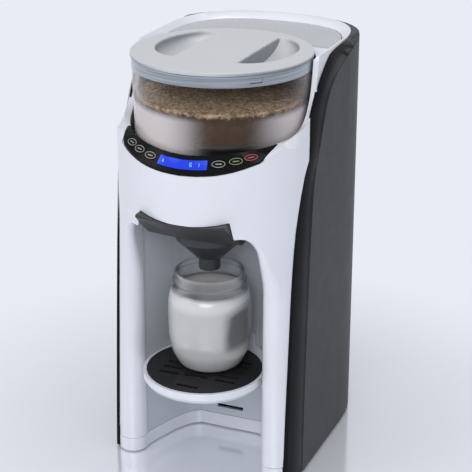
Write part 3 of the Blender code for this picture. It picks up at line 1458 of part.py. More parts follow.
def gear_case():
    top = SEAT_TOP - SEAT_WALL - GAP
    body = wide_box("gear_case", CASE_HALF_WIDTH, CASE_FRONT_Y, CASE_BACK_Y, CASE_BOTTOM, top)
    cut(body, wide_box(
        "case_inside", CASE_HALF_WIDTH - CASE_WALL, CASE_FRONT_Y + CASE_FRONT_WALL, CASE_BACK_Y - CASE_WALL,
        CASE_BOTTOM + CASE_WALL, top + OVERRUN))
    cut(body, cylinder(
        "case_hole", PINION_SHAFT_RADIUS + FIT, CASE_BOTTOM - OVERRUN, top, 0, centre_distance(), FACET_TINY))
    return part(body, "gear_case", grey_plastic())


def drive_motor():
    top = CASE_BOTTOM - GAP
    body = turned("drive_motor", [
        (0, top), (MOTOR_RADIUS, top), (MOTOR_RADIUS, MOTOR_BOTTOM + MOTOR_EDGE),
        (MOTOR_RADIUS - MOTOR_EDGE, MOTOR_BOTTOM), (0, MOTOR_BOTTOM)], FACET_SMALL, 0, centre_distance(),
        closed=False)
    return part(body, "drive_motor", steel())


# Funnel
def funnel_holder():
    """The drawer that carries the funnel. Its slanted front is the dark apron over the bay."""
    corner = [(HOLDER_HALF_WIDTH, HOLDER_CORNER_Y), (HOLDER_CORNER_X, HOLDER_BACK_Y)]
    plan = mirrored([(HOLDER_HALF_WIDTH, -NOSE_RADIUS)] + corner)
    tip_top = HOLDER_TOP + HOLDER_TIP_RISE
    body = prism("funnel_holder", plan, HOLDER_BOTTOM, tip_top + OVERRUN)
    front_view = drawer_outline(HOLDER_BOTTOM - OVERRUN, 0.0)
    keep(body, prism("holder_front_view", front_view, -2 * NOSE_RADIUS, NOSE_RADIUS, "Y"))
    low = HOLDER_BOTTOM - OVERRUN
    high = tip_top + 2 * OVERRUN
    keep(body, cylinder(
        "apron", APRON_RADIUS + APRON_SLOPE * (low - HOLDER_TOP), low, high, 0, APRON_FRONT_Y + APRON_RADIUS,
        3 * FACET_LARGE, APRON_RADIUS + APRON_SLOPE * (high - HOLDER_TOP)))
    inside = HOLDER_HALF_WIDTH - GROOVE_DEPTH - GROOVE_WALL
    cut(body, wide_box(
        "holder_inside", inside, OUTLET_Y - FUNNEL_FLANGE_RADIUS - FUNNEL_FLANGE_ROOM,
        HOLDER_BACK_Y - HOLDER_BACK_WALL, HOLDER_BOTTOM + HOLDER_FLOOR, tip_top + 2 * OVERRUN))
    cut(body, cylinder("funnel_hole", FUNNEL_RIM_RADIUS + FIT, 0, LID_TOP, 0, OUTLET_Y, FACET_MEDIUM))
    for side in (-1, 1):
        near = side * (HOLDER_HALF_WIDTH - GROOVE_DEPTH)
        far = side * (HOLDER_HALF_WIDTH + OVERRUN)
        cut(body, box(
            "groove_%d" % side, min(near, far), max(near, far), NOTCH_BACK_Y - FIT, NOSE_RADIUS,
            BAY_TOP - GAP, BAY_TOP + SHELL_WALL + GAP))
    return part(body, "funnel_holder", charcoal_plastic())


def funnel():
    flange_low = HOLDER_BOTTOM + HOLDER_FLOOR + GAP
    flange_top = flange_low + FUNNEL_FLANGE_THICKNESS
    rim = FUNNEL_RIM_RADIUS
    wall = FUNNEL_WALL
    fillet = wall * FUNNEL_FILLET_SHARE
    body = turned("funnel", [
        (FUNNEL_FLANGE_RADIUS, flange_top), (FUNNEL_FLANGE_RADIUS, flange_low), (rim, flange_low),
        (rim, FUNNEL_CONE_TOP), (FUNNEL_NECK_RADIUS, FUNNEL_CONE_BOTTOM), (SPOUT_RADIUS, FUNNEL_CONE_BOTTOM),
        (SPOUT_RADIUS, SPOUT_BOTTOM), (SPOUT_RADIUS - wall, SPOUT_BOTTOM),
        (SPOUT_RADIUS - wall, FUNNEL_CONE_BOTTOM + wall), (FUNNEL_NECK_RADIUS - fillet, FUNNEL_CONE_BOTTOM + wall),
        (rim - wall, FUNNEL_CONE_TOP + fillet), (rim - wall, flange_top)], FACET_MEDIUM, 0, OUTLET_Y)
    return part(body, "funnel", charcoal_plastic())


# Tray, grid and bottle
def tray_outline():
    """A round front that narrows back to the bay's rear wall."""
    front = arc(0, TRAY_Y, TRAY_RADIUS, -90, TRAY_FRONT_END, TRAY_FRONT_STEPS)
    return mirrored(front[1:] + bay_place(TRAY_SIDE_SHARES))


def drip_tray():
    bottom = TRAY_TOP - TRAY_HEIGHT
    rings = []
    for inset, rise in TRAY_ROUND_SHARES:
        plan = grown(tray_outline(), TRAY_ROUND * inset) if inset else tray_outline()
        rings.append([(x, y, bottom + TRAY_HEIGHT * rise) for x, y in plan])
    rings.append([(x, y, TRAY_TOP) for x, y in tray_outline()])
    body = loft("drip_tray", rings)
    cut(body, cylinder(
        "grid_seat", GRID_RADIUS + GAP, TRAY_TOP - GRID_THICKNESS - GAP, TRAY_TOP + OVERRUN, 0, TRAY_Y,
        FACET_MEDIUM))
    cut(body, cylinder(
        "drip_well", GRID_RADIUS - TRAY_WELL_LEDGE, bottom + TRAY_FLOOR, TRAY_TOP, 0, TRAY_Y, FACET_MEDIUM))
    back = BAY_BACK_Y - GAP
    join(body, wide_box(
        "upright", UPRIGHT_HALF_WIDTH, back - UPRIGHT_THICKNESS, back, TRAY_TOP - GRID_THICKNESS, UPRIGHT_TOP))
    return part(body, "drip_tray", white_plastic(), (0, TRAY_Y, bottom))


def drip_grid():
    body = cylinder("drip_grid", GRID_RADIUS, TRAY_TOP - GRID_THICKNESS, TRAY_TOP, 0, TRAY_Y, FACET_MEDIUM)
    for number, shares in enumerate(GRID_SLOT_SHARES):
        x, back, length = (share * GRID_RADIUS for share in shares)
        y = TRAY_Y + back
        cut(body, box(
            "grid_slot_%d" % number, x - length / 2, x + length / 2, y - GRID_SLOT_WIDTH / 2,
            y + GRID_SLOT_WIDTH / 2, 0, LID_TOP))
    x, back, length, width = (share * GRID_RADIUS for share in GRID_OVAL_SHARES)
    hole = cylinder("grid_oval", 1.0, 0, LID_TOP, facets=FACET_TINY)
    place = Matrix.Translation(Vector((x, TRAY_Y + back, 0)) * MM)
    hole.data.transform(place @ Matrix.Diagonal((length / 2, width / 2, 1, 1)))
    cut(body, hole)
    return part(body, "drip_grid", gloss_black(), (0, TRAY_Y, TRAY_TOP))


def bottle():
    low = TRAY_TOP + GAP
    height = BOTTLE_TOP - low
    wall = BOTTLE_WALL
    inside = low + BOTTLE_FLOOR
    neck_low, neck_high, thread_low, thread_high, thread_end = (low + height * share for share in BOTTLE_NECK_SHARES)
    outer = [(BOTTLE_BASE_RADIUS * r, low + height * h) for r, h in BOTTLE_OUTER_SHARES]
    neck = [
        (BOTTLE_NECK_RADIUS, neck_low), (BOTTLE_NECK_RADIUS, neck_high), (BOTTLE_THREAD_RADIUS, thread_low),
        (BOTTLE_THREAD_RADIUS, thread_high), (BOTTLE_NECK_RADIUS, thread_end),
        (BOTTLE_NECK_RADIUS, BOTTLE_TOP - BOTTLE_LIP), (BOTTLE_NECK_RADIUS - BOTTLE_LIP / 2, BOTTLE_TOP)]
    inner = [(BOTTLE_NECK_RADIUS - wall, BOTTLE_TOP), (BOTTLE_NECK_RADIUS - wall, neck_low)]
    inner += [(radius - wall, level) for radius, level in reversed(outer[2:-1])]
    inner += [(BOTTLE_BASE_RADIUS, inside), (0, inside)]
    profile = [(0, low)] + outer + neck + inner
    body = turned("bottle", profile[::-1], FACET_MEDIUM, 0, OUTLET_Y, closed=False)
    return part(body, "bottle", milky_plastic(), (0, OUTLET_Y, low))


# Water tank and what is behind
def tank_outline():
    """A circle's arc in front, blunt corners beside it and the rear outline behind."""
    half_angle = math.degrees(math.acos(TANK_CORNER_X / TANK_FRONT_RADIUS))
    front = arc(0, 0, TANK_FRONT_RADIUS, 180 - half_angle, half_angle, FRONT_STEPS)
    corner_y = front[0][1] - TANK_CORNER_STEP
    curve = superellipse(TANK_HALF_WIDTH, TANK_DEPTH)
    return curve + [(-TANK_HALF_WIDTH, corner_y)] + front + [(TANK_HALF_WIDTH, corner_y)]


def water_tank():
    body = prism("water_tank", tank_outline(), TANK_BOTTOM, TANK_TOP)
    cut(body, prism("tank_inside", grown(tank_outline(), -TANK_WALL), TANK_BOTTOM + TANK_WALL, TANK_TOP + OVERRUN))
    cut(body, cylinder("valve_hole", VALVE_STEM_RADIUS + FIT, 0, TANK_BOTTOM + OVERRUN, 0, VALVE_Y, FACET_TINY))
    return part(body, "water_tank", clear_plastic(), (0, VALVE_Y, TANK_BOTTOM))


def tank_valve():
    head = TANK_BOTTOM + TANK_WALL + GAP
    top = head + VALVE_HEAD_THICKNESS
    foot = TANK_BOTTOM - VALVE_STEM_DROP
    body = turned("tank_valve", [
        (0, top), (VALVE_HEAD_RADIUS, top), (VALVE_HEAD_RADIUS, head), (VALVE_STEM_RADIUS, head),
        (VALVE_STEM_RADIUS, foot), (0, foot)], FACET_TINY, 0, VALVE_Y, closed=False)
    return part(body, "tank_valve", silicone(), (0, VALVE_Y, head))


def tank_lid():
    low = DECK_TOP - TANK_LID_THICKNESS
    body = prism("tank_lid", tank_opening_outline(TANK_LID_GAP, TANK_LID_REAR_GAP), low, DECK_TOP)
    hinge_y = CROWN_CENTRE_Y + DECK_DEPTH - TANK_LID_REAR_GAP - HINGE_SETBACK
    return part(body, "tank_lid", white_plastic(), (0, hinge_y, (low + DECK_TOP) / 2))


def tank_dock():
    top = TANK_BOTTOM - GAP
    outline = grown(tank_outline(), -DOCK_INSET)
    body = prism("tank_dock", outline, INSIDE_FLOOR, top)
    cut(body, prism("dock_inside", grown(outline, -DOCK_WALL), INSIDE_FLOOR - OVERRUN, top - DOCK_TOP_WALL))
    cut(body, cylinder(
        "dock_socket", VALVE_STEM_RADIUS + DOCK_SOCKET_MARGIN, INSIDE_FLOOR, top + OVERRUN, 0, VALVE_Y, FACET_TINY))
    return part(body, "tank_dock", grey_plastic())


def dock_pin():
    top = TANK_BOTTOM - VALVE_STEM_DROP - VALVE_PIN_GAP
    body = cylinder("dock_pin", VALVE_STEM_RADIUS + DOCK_PIN_MARGIN, INSIDE_FLOOR, top, 0, VALVE_Y, FACET_TINY)
    return part(body, "dock_pin", grey_plastic())


def water_heater():
    body = turned("water_heater", [
        (0, HEATER_TOP), (HEATER_RADIUS - HEATER_EDGE, HEATER_TOP), (HEATER_RADIUS, HEATER_TOP - HEATER_EDGE),
        (HEATER_RADIUS, INSIDE_FLOOR + HEATER_EDGE), (HEATER_RADIUS - HEATER_EDGE, INSIDE_FLOOR),
        (0, INSIDE_FLOOR)], FACET_SMALL, HEATER_X, HEATER_Y, closed=False)
    return part(body, "water_heater", steel())


def water_pump():
    neck = PUMP_RADIUS * PUMP_HEAD_SHARE
    body = turned("water_pump", [
        (0, PUMP_TOP), (neck, PUMP_TOP), (neck, PUMP_TOP - PUMP_HEAD_HEIGHT),
        (PUMP_RADIUS, PUMP_TOP - PUMP_HEAD_HEIGHT), (PUMP_RADIUS, INSIDE_FLOOR), (0, INSIDE_FLOOR)],
        FACET_SMALL, PUMP_X, PUMP_Y, closed=False)
    return part(body, "water_pump", pump_black())


def bent(points):
    """A route through corner points with each corner rounded."""
    route = [Vector(points[0])]
    for before, here, after in zip(points, points[1:], points[2:]):
        here = Vector(here)
        back = Vector(before) - here
        onward = Vector(after) - here
        reach = min(TUBE_BEND, back.length * TUBE_BEND_SHARE, onward.length * TUBE_BEND_SHARE)
        start = here + back.normalized() * reach
        end = here + onward.normalized() * reach
        for step in range(TUBE_BEND_STEPS + 1):
            t = step / TUBE_BEND_STEPS
            route.append(start * (1 - t) ** 2 + here * (2 * t * (1 - t)) + end * t * t)
    route.append(Vector(points[-1]))
    return route


def water_tubes():
    level = INSIDE_FLOOR + PUMP_PORT_HEIGHT
    supply = [(PUMP_X, PUMP_Y + PUMP_RADIUS + GAP, level), (PUMP_X, SUPPLY_END_Y, level)]
    part(tube("supply_tube", bent(supply), TUBE_RADIUS), "supply_tube", silicone())

    over = PUMP_TOP + TUBE_OVER_PUMP
    inlet_x = HEATER_X + HEATER_PORT
    feed = [(PUMP_X, PUMP_Y, PUMP_TOP + GAP), (PUMP_X, PUMP_Y, over), (inlet_x, HEATER_Y, over),
            (inlet_x, HEATER_Y, HEATER_TOP + GAP)]
    part(tube("heater_tube", bent(feed), TUBE_RADIUS), "heater_tube", silicone())

    rise = NOZZLE_TOP + TUBE_OVER_NOZZLE
    outlet_x = HEATER_X - HEATER_PORT
    outlet = [(outlet_x, HEATER_Y, HEATER_TOP + GAP), (outlet_x, HEATER_Y, rise), (outlet_x, OUTLET_Y, rise),
              (NOZZLE_X, OUTLET_Y, rise), (NOZZLE_X, OUTLET_Y, NOZZLE_TOP + GAP)]
    part(tube("outlet_tube", bent(outlet), TUBE_RADIUS), "outlet_tube", silicone())


def water_nozzle():
    body = turned("water_nozzle", [
        (NOZZLE_RADIUS + NOZZLE_WALL, NOZZLE_TOP), (NOZZLE_RADIUS + NOZZLE_WALL, NOZZLE_TOP - NOZZLE_HEAD),
        (NOZZLE_RADIUS, NOZZLE_BOTTOM), (NOZZLE_RADIUS - NOZZLE_WALL, NOZZLE_BOTTOM),
        (NOZZLE_RADIUS - NOZZLE_WALL, NOZZLE_TOP)], FACET_TINY, NOZZLE_X, OUTLET_Y)
    return part(body, "water_nozzle", nylon())


# Electrics
def main_board():
    front = BAY_BACK_Y + SHELL_WALL + GAP
    body = wide_box(
        "main_board", MAIN_BOARD_WIDTH / 2, front, front + MAIN_BOARD_THICKNESS, MAIN_BOARD_BOTTOM, MAIN_BOARD_TOP)
    return part(body, "main_board", circuit_green())


def power_inlet():
    back = CROWN_CENTRE_Y + PANEL_BACK_DEPTH - INLET_SUNK
    front = back - INLET_LENGTH
    half = INLET_WIDTH / 2 - GAP
    tall = INLET_HEIGHT / 2 - GAP
    body = box("power_inlet", INLET_X - half, INLET_X + half, front, back, INLET_Z - tall, INLET_Z + tall)
    half -= INLET_SIDE_WALL
    tall -= INLET_END_WALL
    cut(body, box(
        "inlet_socket", INLET_X - half, INLET_X + half, front + INLET_END_WALL, back + OVERRUN, INLET_Z - tall,
        INLET_Z + tall))
    return part(body, "power_inlet", gloss_black())


def power_switch():
    back = CROWN_CENTRE_Y + PANEL_BACK_DEPTH
    outline = [(back + ROCKER_DEPTH * u, INLET_Z + ROCKER_LENGTH / 2 * v) for u, v in ROCKER_SHARES]
    body = prism("power_switch", outline, SWITCH_X - ROCKER_WIDTH / 2, SWITCH_X + ROCKER_WIDTH / 2, "X")
    return part(body, "power_switch", gloss_black(), (SWITCH_X, back - ROCKER_AXIS_DEPTH, INLET_Z))


def shell():
    front_housing()
    bay_liner()
    side_panel("side_panel_right", 1)
    side_panel("side_panel_left", -1)
    rear_cover()
    base_plate()
    feet()
    base_screws()
    inner_frame()


def powder_side():
    container_seat()
    powder_chute()
    powder_container()
    container_collar()
    lid_gasket()
    lid()
    wheel_cover()
    metering_wheel()
    stirrer()
    powder_fill()
    drive_gear()
    motor_pinion()
    gear_case()
    drive_motor()


def controls():
    control_panel()
    display_window()
    display_board()
    buttons()
    main_board()
    power_inlet()
    power_switch()


def bottle_side():
    funnel_holder()
    funnel()
    drip_tray()
    drip_grid()
    bottle()


def water_side():
    water_tank()
    tank_valve()
    tank_lid()
    tank_dock()
    dock_pin()
    water_heater()
    water_pump()
    water_tubes()
    water_nozzle()


shell()
powder_side()
controls()
bottle_side()
water_side()
bpy.context.view_layer.update()
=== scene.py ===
# %% [markdown]
# # A baby formula maker, dressed for its photograph
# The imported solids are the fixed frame. Each cell below makes one finish or one piece of the machine: white
# moulded front, dark side panels, a clear powder container, a lit control strip, a funnel over a small bottle.
# New pieces are measured in millimetres in the machine's own frame, whose origin is on the powder container's
# axis, SHIFT_Y from the world's. Patterns in the materials are measured in metres in the world's frame.

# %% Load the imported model
import json
import math
from contextlib import contextmanager

import bmesh
import bpy
import numpy as np
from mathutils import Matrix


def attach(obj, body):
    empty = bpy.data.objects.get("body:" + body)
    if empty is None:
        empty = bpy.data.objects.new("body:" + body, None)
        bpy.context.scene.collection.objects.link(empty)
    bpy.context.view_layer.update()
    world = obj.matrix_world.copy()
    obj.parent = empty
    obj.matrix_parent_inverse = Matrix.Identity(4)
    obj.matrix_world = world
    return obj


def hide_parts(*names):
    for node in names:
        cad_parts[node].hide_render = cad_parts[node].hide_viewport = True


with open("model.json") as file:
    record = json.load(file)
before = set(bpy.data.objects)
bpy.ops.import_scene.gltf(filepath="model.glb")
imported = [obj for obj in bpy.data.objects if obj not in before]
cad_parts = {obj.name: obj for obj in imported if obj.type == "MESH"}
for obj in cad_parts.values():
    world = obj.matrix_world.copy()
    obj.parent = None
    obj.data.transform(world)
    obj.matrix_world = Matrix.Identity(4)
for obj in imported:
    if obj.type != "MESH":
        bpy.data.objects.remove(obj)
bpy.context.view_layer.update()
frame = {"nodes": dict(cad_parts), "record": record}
MM = 0.001
SHIFT_Y = -29.7
BODY_OF = {node: body for body, nodes in frame["record"]["behaviour"]["bodies"].items() for node in nodes}

# %% [markdown]
# ## Camera
# The photograph looks a little down on the machine from its right-hand side. Its camera could be set by eye, but
# then every shape would be judged against a wrong perspective. So place and angles were fitted to the measured
# outlines: a long lens 1.3 m away, which keeps the uprights nearly parallel.

# %% The photograph's camera
CAMERA_PLACE = (0.47417, -1.13375, 0.67407)
CAMERA_PITCH = math.radians(21.417)
CAMERA_YAW = math.radians(22.686)
SENSOR_WIDTH = 36
FOCAL_LENGTH = 110.63
NEAREST = 0.01

lens = bpy.data.cameras.new("photo_camera")
lens.sensor_width = SENSOR_WIDTH
lens.lens = FOCAL_LENGTH
lens.clip_start = NEAREST
camera = bpy.data.objects.new("photo_camera", lens)
camera.location = CAMERA_PLACE
camera.rotation_euler = (math.pi / 2 - CAMERA_PITCH, 0, CAMERA_YAW)
bpy.context.scene.collection.objects.link(camera)
bpy.context.scene.camera = camera
bpy.context.scene.view_settings.view_transform = "Standard"
print("camera", CAMERA_PLACE, "focal length", FOCAL_LENGTH)

# %% [markdown]
# ## Shader sums as Python
# A pattern in a material is arithmetic: a mask times a number plus another mask. Nodes can be placed and linked
# one at a time, but a sum then takes ten lines. `Wire` wraps one socket of a shader tree, so that the sum is
# written as Python and turns into Math nodes. `Tree` adds the nodes, and `Finish` is the tree of one material.


# %% Wires
class Wire:
    """One output socket. Sums, products and powers on it add Math nodes to its tree."""

    def __init__(self, tree, socket):
        self.tree = tree
        self.socket = socket

    def join(self, operation, first, second=0.0):
        return self.tree.node("ShaderNodeMath", {0: first, 1: second}, operation=operation)

    def __add__(self, other):
        return self.join("ADD", self, other)

    def __sub__(self, other):
        return self.join("SUBTRACT", self, other)

    def __rsub__(self, other):
        return self.join("SUBTRACT", other, self)

    def __mul__(self, other):
        return self.join("MULTIPLY", self, other)

    def __pow__(self, other):
        return self.join("POWER", self, other)

    def __abs__(self):
        return self.join("ABSOLUTE", self)

    def over(self, low, high):
        """0 below low, 1 above high and a smooth step between."""
        return self.tree.node("ShaderNodeMapRange", {0: self, 1: low, 2: high}, interpolation_type="SMOOTHSTEP")


# %% Trees
class Tree:
    """The shader tree of a material or a world, with its output node."""

    def __init__(self, owner, output_kind):
        owner.use_nodes = True
        self.tree = owner.node_tree
        self.tree.nodes.clear()
        self.output = self.tree.nodes.new(output_kind)

    def set(self, socket, value):
        """Links a wire to a socket, or gives the socket a constant."""
        if isinstance(value, Wire):
            self.tree.links.new(value.socket, socket)
        elif socket.type == "RGBA":
            socket.default_value = (*value, 1)
        else:
            socket.default_value = value

    def node(self, kind, inputs=None, output=0, **settings):
        """Adds a node: its settings first, then the values or links of its sockets."""
        made = self.tree.nodes.new(kind)
        for name, value in settings.items():
            setattr(made, name, value)
        for name, value in (inputs or {}).items():
            self.set(made.inputs[name], value)
        return Wire(self, made.outputs[output])

    def ray(self, kind):
        """1 for rays of one kind, such as Camera, and 0 for all others."""
        return self.node("ShaderNodeLightPath", output="Is %s Ray" % kind)

    def blend(self, share, first, second):
        """The first shader where the share is 0 and the second where it is 1."""
        return self.node("ShaderNodeMixShader", {0: share, 1: first, 2: second})

    def show(self, shader):
        self.set(self.output.inputs[0], shader)


# %% Finishes
class Finish(Tree):
    """One material with a Principled shader, whose constants are set on the shader's own sockets."""

    def __init__(self, name, **constants):
        self.material = bpy.data.materials.new(name)
        super().__init__(self.material, "ShaderNodeOutputMaterial")
        self.shader = self.tree.nodes.new("ShaderNodeBsdfPrincipled")
        self.lit = Wire(self, self.shader.outputs[0])
        self.show(self.lit)
        for words, value in constants.items():
            self.feed(words.replace("_", " "), value)

    def feed(self, name, value):
        """Sets or links a socket of the Principled shader."""
        self.set(self.shader.inputs[name], value)

    def place(self):
        return self.node("ShaderNodeTexCoord", output="Object")

    def along(self, axis):
        return self.node("ShaderNodeSeparateXYZ", {0: self.place()}, output=axis)

    def mapped(self, scale, location=(0.0, 0.0, 0.0)):
        return self.node("ShaderNodeMapping", {0: self.place(), "Location": location, "Scale": scale})

    def length(self, vector):
        return self.node("ShaderNodeVectorMath", {0: vector}, output="Value", operation="LENGTH")

    def facing(self):
        """0 where the surface is seen square on, 1 where it is seen edge on."""
        return self.node("ShaderNodeLayerWeight", {"Blend": 0.5}, output="Facing")

    def noise(self, scale, detail=2.0, roughness=0.5, place=None):
        return self.node("ShaderNodeTexNoise", {
            "Vector": place or self.place(), "Scale": scale, "Detail": detail, "Roughness": roughness})

    def cells(self, scale, output=0, **settings):
        """A Voronoi pattern: the distance to the nearest of its points, or another of its outputs."""
        return self.node("ShaderNodeTexVoronoi", {"Vector": self.place(), "Scale": scale}, output, **settings)

    def mix(self, mask, first, second):
        """The first colour where the mask is 0 and the second where it is 1."""
        return self.node("ShaderNodeMix", {0: mask, 6: first, 7: second}, output=2, data_type="RGBA")

    def bump(self, height, strength, distance):
        self.feed("Normal", self.node("ShaderNodeBump", {
            "Height": height, "Strength": strength, "Distance": distance}))


# %% [markdown]
# ## Moulded plastics
# Nearly all of the machine is injection-moulded. Real mouldings are never one flat value: the tone drifts a
# little over the part, the gloss is uneven where hands touch it, and satin parts carry a fine spark-eroded
# grain. An image could hold that, but noise needs no file and stays sharp close up. One function makes each
# plastic from a colour, a gloss and a grain.


# %% Moulded plastic
FINE_GRAIN = 2600.0
GRAIN_DEPTH = 0.0001
DRIFT_SCALE = 14.0


def moulded(name, colour, roughness, grain=0.2, grain_scale=FINE_GRAIN, drift=0.05, coat=0.0, shine=0.5):
    """Colour times a slow drift; roughness plus slow patches; bump from a fine grain."""
    finish = Finish(name, Coat_Weight=coat, Coat_Roughness=0.06, Specular_IOR_Level=shine)
    cloud = finish.noise(DRIFT_SCALE, 3.0)
    patches = finish.noise(60.0, 4.0, 0.6)
    darker = tuple(c * (1 - drift) for c in colour)
    lighter = tuple(min(c * (1 + drift), 1.0) for c in colour)
    finish.feed("Base Color", finish.mix(cloud.over(0.3, 0.7), darker, lighter))
    finish.feed("Roughness", patches * 0.12 + (roughness - 0.06))
    finish.bump(finish.noise(grain_scale), grain, GRAIN_DEPTH)
    return finish.material


# %% The lid's plastic, with painted shade in its scoops
SCOOP_WALL_TURN = (0.12, 0.85)
SCOOP_WALL_HEIGHT = (0.3705, 0.3725)


def scooped_lid():
    """The lid's grey, with painted shade on the scoops' walls: below the top, where the surface turns towards the
    grip.
    """
    finish = Finish("scooped_lid", Coat_Weight=0.15)
    normal = finish.node("ShaderNodeTexCoord", output="Normal")
    steep = abs(finish.node("ShaderNodeSeparateXYZ", {0: normal}, output="X")).over(*SCOOP_WALL_TURN)
    low = 1 - finish.along("Z").over(*SCOOP_WALL_HEIGHT)
    cloud = finish.noise(DRIFT_SCALE, 3.0)
    plain = finish.mix(cloud, (0.49, 0.50, 0.52), (0.515, 0.525, 0.545))
    # painted shade: steep scoop walls below the top are mixed towards a dark blue-grey
    finish.feed("Base Color", finish.mix(steep * low * 0.85, plain, (0.13, 0.145, 0.17)))
    finish.feed("Roughness", cloud * 0.1 + 0.3)
    finish.bump(finish.noise(FINE_GRAIN), 0.12, GRAIN_DEPTH)
    return finish.material


# %% The machine's plastics
WHITE = moulded("white_moulding", (0.69, 0.71, 0.77), 0.24, grain=0.04, drift=0.015, coat=0.3)
LID_GREY = moulded("lid_moulding", (0.47, 0.48, 0.50), 0.34, grain=0.12, drift=0.02)
DECK_GREY = moulded("tank_lid_moulding", (0.41, 0.42, 0.445), 0.26, grain=0.10, drift=0.02)
# the bay's grey, darker than the white front, is partly the liner's own grey and partly painted shade inside the
# bay
LINER = moulded("bay_moulding", (0.50, 0.53, 0.58), 0.38, grain=0.10, drift=0.02)
CHARCOAL = moulded(
    "side_moulding", (0.024, 0.025, 0.028), 0.5, grain=0.35, grain_scale=1900.0, drift=0.08, shine=0.3)
BAND_BLACK = moulded("band_moulding", (0.004, 0.004, 0.005), 0.2, grain=0.03, drift=0.1, shine=0.12)
FUNNEL_GREY = moulded("funnel_moulding", (0.033, 0.035, 0.038), 0.36, grain=0.18, drift=0.06, shine=0.35)
SCOOPED = scooped_lid()
GRID_BLACK = moulded(
    "grid_moulding", (0.012, 0.012, 0.013), 0.36, grain=0.25, grain_scale=1600.0, drift=0.1, shine=0.3)
INNER_GREY = moulded("inner_moulding", (0.36, 0.37, 0.39), 0.5, grain=0.3)
NYLON = moulded("natural_nylon", (0.66, 0.64, 0.58), 0.42)
PUMP_BLACK = moulded("filled_nylon", (0.022, 0.022, 0.025), 0.55, grain=0.5, grain_scale=900.0)
FOOT_RUBBER = moulded("foot_rubber", (0.018, 0.018, 0.018), 0.8, grain=0.6, grain_scale=1200.0)
SILICONE = moulded("silicone", (0.70, 0.70, 0.67), 0.45, grain=0.1)
print("plastics", len(bpy.data.materials))

# %% [markdown]
# ## Steel, circuit board and powder
# Brushed steel is a metal whose roughness is drawn out along the brushing. The boards are green with pale
# tracks. The powder could be millions of grains, but a pattern on one heap looks the same from here: grains
# about two millimetres apart in clumps of about seven, pale and grainy on top and darker below its top.


# %% Steel
def brushed_steel():
    """Noise stretched along Z drives the roughness and a shallow bump."""
    finish = Finish("brushed_steel", Metallic=1.0)
    lines = finish.noise(1.0, 3.0, place=finish.mapped((900.0, 900.0, 12.0)))
    finish.feed("Base Color", finish.mix(lines, (0.50, 0.50, 0.51), (0.66, 0.66, 0.67)))
    finish.feed("Roughness", lines * 0.25 + 0.22)
    finish.bump(lines, 0.15, GRAIN_DEPTH / 2)
    return finish.material


STEEL = brushed_steel()


# %% Circuit board
def circuit_board():
    """Cells of a Voronoi pattern, cut at a level, read as copper under green mask."""
    finish = Finish("circuit_board", Coat_Weight=0.3)
    tracks = finish.cells(260.0, distance="MANHATTAN")
    finish.feed("Base Color", finish.mix(tracks.over(0.30, 0.36), (0.10, 0.30, 0.13), (0.015, 0.14, 0.06)))
    finish.feed("Roughness", tracks * 0.2 + 0.3)
    return finish.material


BOARD = circuit_board()

# %% Powder
POWDER_TOP_HEIGHTS = (0.3385, 0.3430)


def milk_powder():
    """Grains: a fine Voronoi pattern mixed with clumps of noise, pale and grainy on top and darker below its top.
    """
    finish = Finish("milk_powder", Roughness=0.95, Specular_IOR_Level=0.2)
    tone = finish.node("ShaderNodeSeparateColor", {0: finish.cells(560.0, "Color")})
    clumps = finish.noise(150.0, 5.0, 0.7)
    top_share = (finish.along("Z") + clumps * 0.014).over(*POWDER_TOP_HEIGHTS)
    speck = (tone * 0.6 + clumps * 0.9).over(0.35, 1.15)
    grainy = finish.mix(speck, (0.205, 0.138, 0.085), (0.52, 0.392, 0.27))
    # below the top the colour is much darker, in plain tones varied only by the clumps
    darker_below = finish.mix(clumps.over(0.2, 0.9), (0.045, 0.027, 0.017), (0.085, 0.055, 0.036))
    finish.feed("Base Color", finish.mix(top_share, darker_below, grainy))
    finish.bump(tone * 0.6 + clumps, 0.7, 0.0013)
    return finish.material


POWDER = milk_powder()
print("steel, board and powder", STEEL.name, BOARD.name, POWDER.name)

# %% [markdown]
# ## Clear parts
# The container's wall is clear. Below the powder's top it carries a pale haze, partly powder dust and partly
# painted reflection, thin in one band at the front that faces the camera, where the powder's own brown shows
# through. Edges seen at a slant turn pale or dark, as clear walls do. Transmission would bend the light truly,
# but it is slow and dims the powder. Alpha that follows the haze, height and facing angle gives the same look
# and lets the lamps reach what is inside.


# %% The container's wall: powder dust and painted reflection
DUST_AND_REFLECTION_TOP = (0.328, 0.336)
UNREFLECTED_BAND = (0.010, 0.060)
UNREFLECTED_MIDDLE = 0.007
ACROSS_BAND = (0.9226, 0.3857)


def dust_and_reflection_container():
    """Clear, with a pale haze below the fill's top, partly powder dust and partly painted reflection, thin in one
    band that faces the camera.
    """
    finish = Finish("clear_container", IOR=1.5, Specular_IOR_Level=0.35, Coat_Weight=0.08)
    cloud = finish.noise(30.0, 3.0)
    low = 1 - finish.along("Z").over(*DUST_AND_REFLECTION_TOP)
    # painted reflection: the haze is thin in a band across the camera's view and thick to either side
    across = finish.along("X") * ACROSS_BAND[0] + (finish.along("Y") - SHIFT_Y * MM) * ACROSS_BAND[1]
    reflection_haze = abs(cloud * 0.004 + across - UNREFLECTED_MIDDLE).over(*UNREFLECTED_BAND)
    dust_and_reflection_share = low * (reflection_haze * 0.80 + 0.03)
    edge = finish.facing() ** 2.2 * 0.8 * (1 - low * (1 - reflection_haze))
    finish.feed("Base Color", finish.mix(cloud, (0.54, 0.50, 0.50), (0.58, 0.54, 0.545)))
    finish.feed("Roughness", cloud * 0.05 + 0.06)
    finish.feed("Alpha", (dust_and_reflection_share + edge + 0.02).over(0.0, 1.0))
    return finish.material


CLEAR = dust_and_reflection_container()


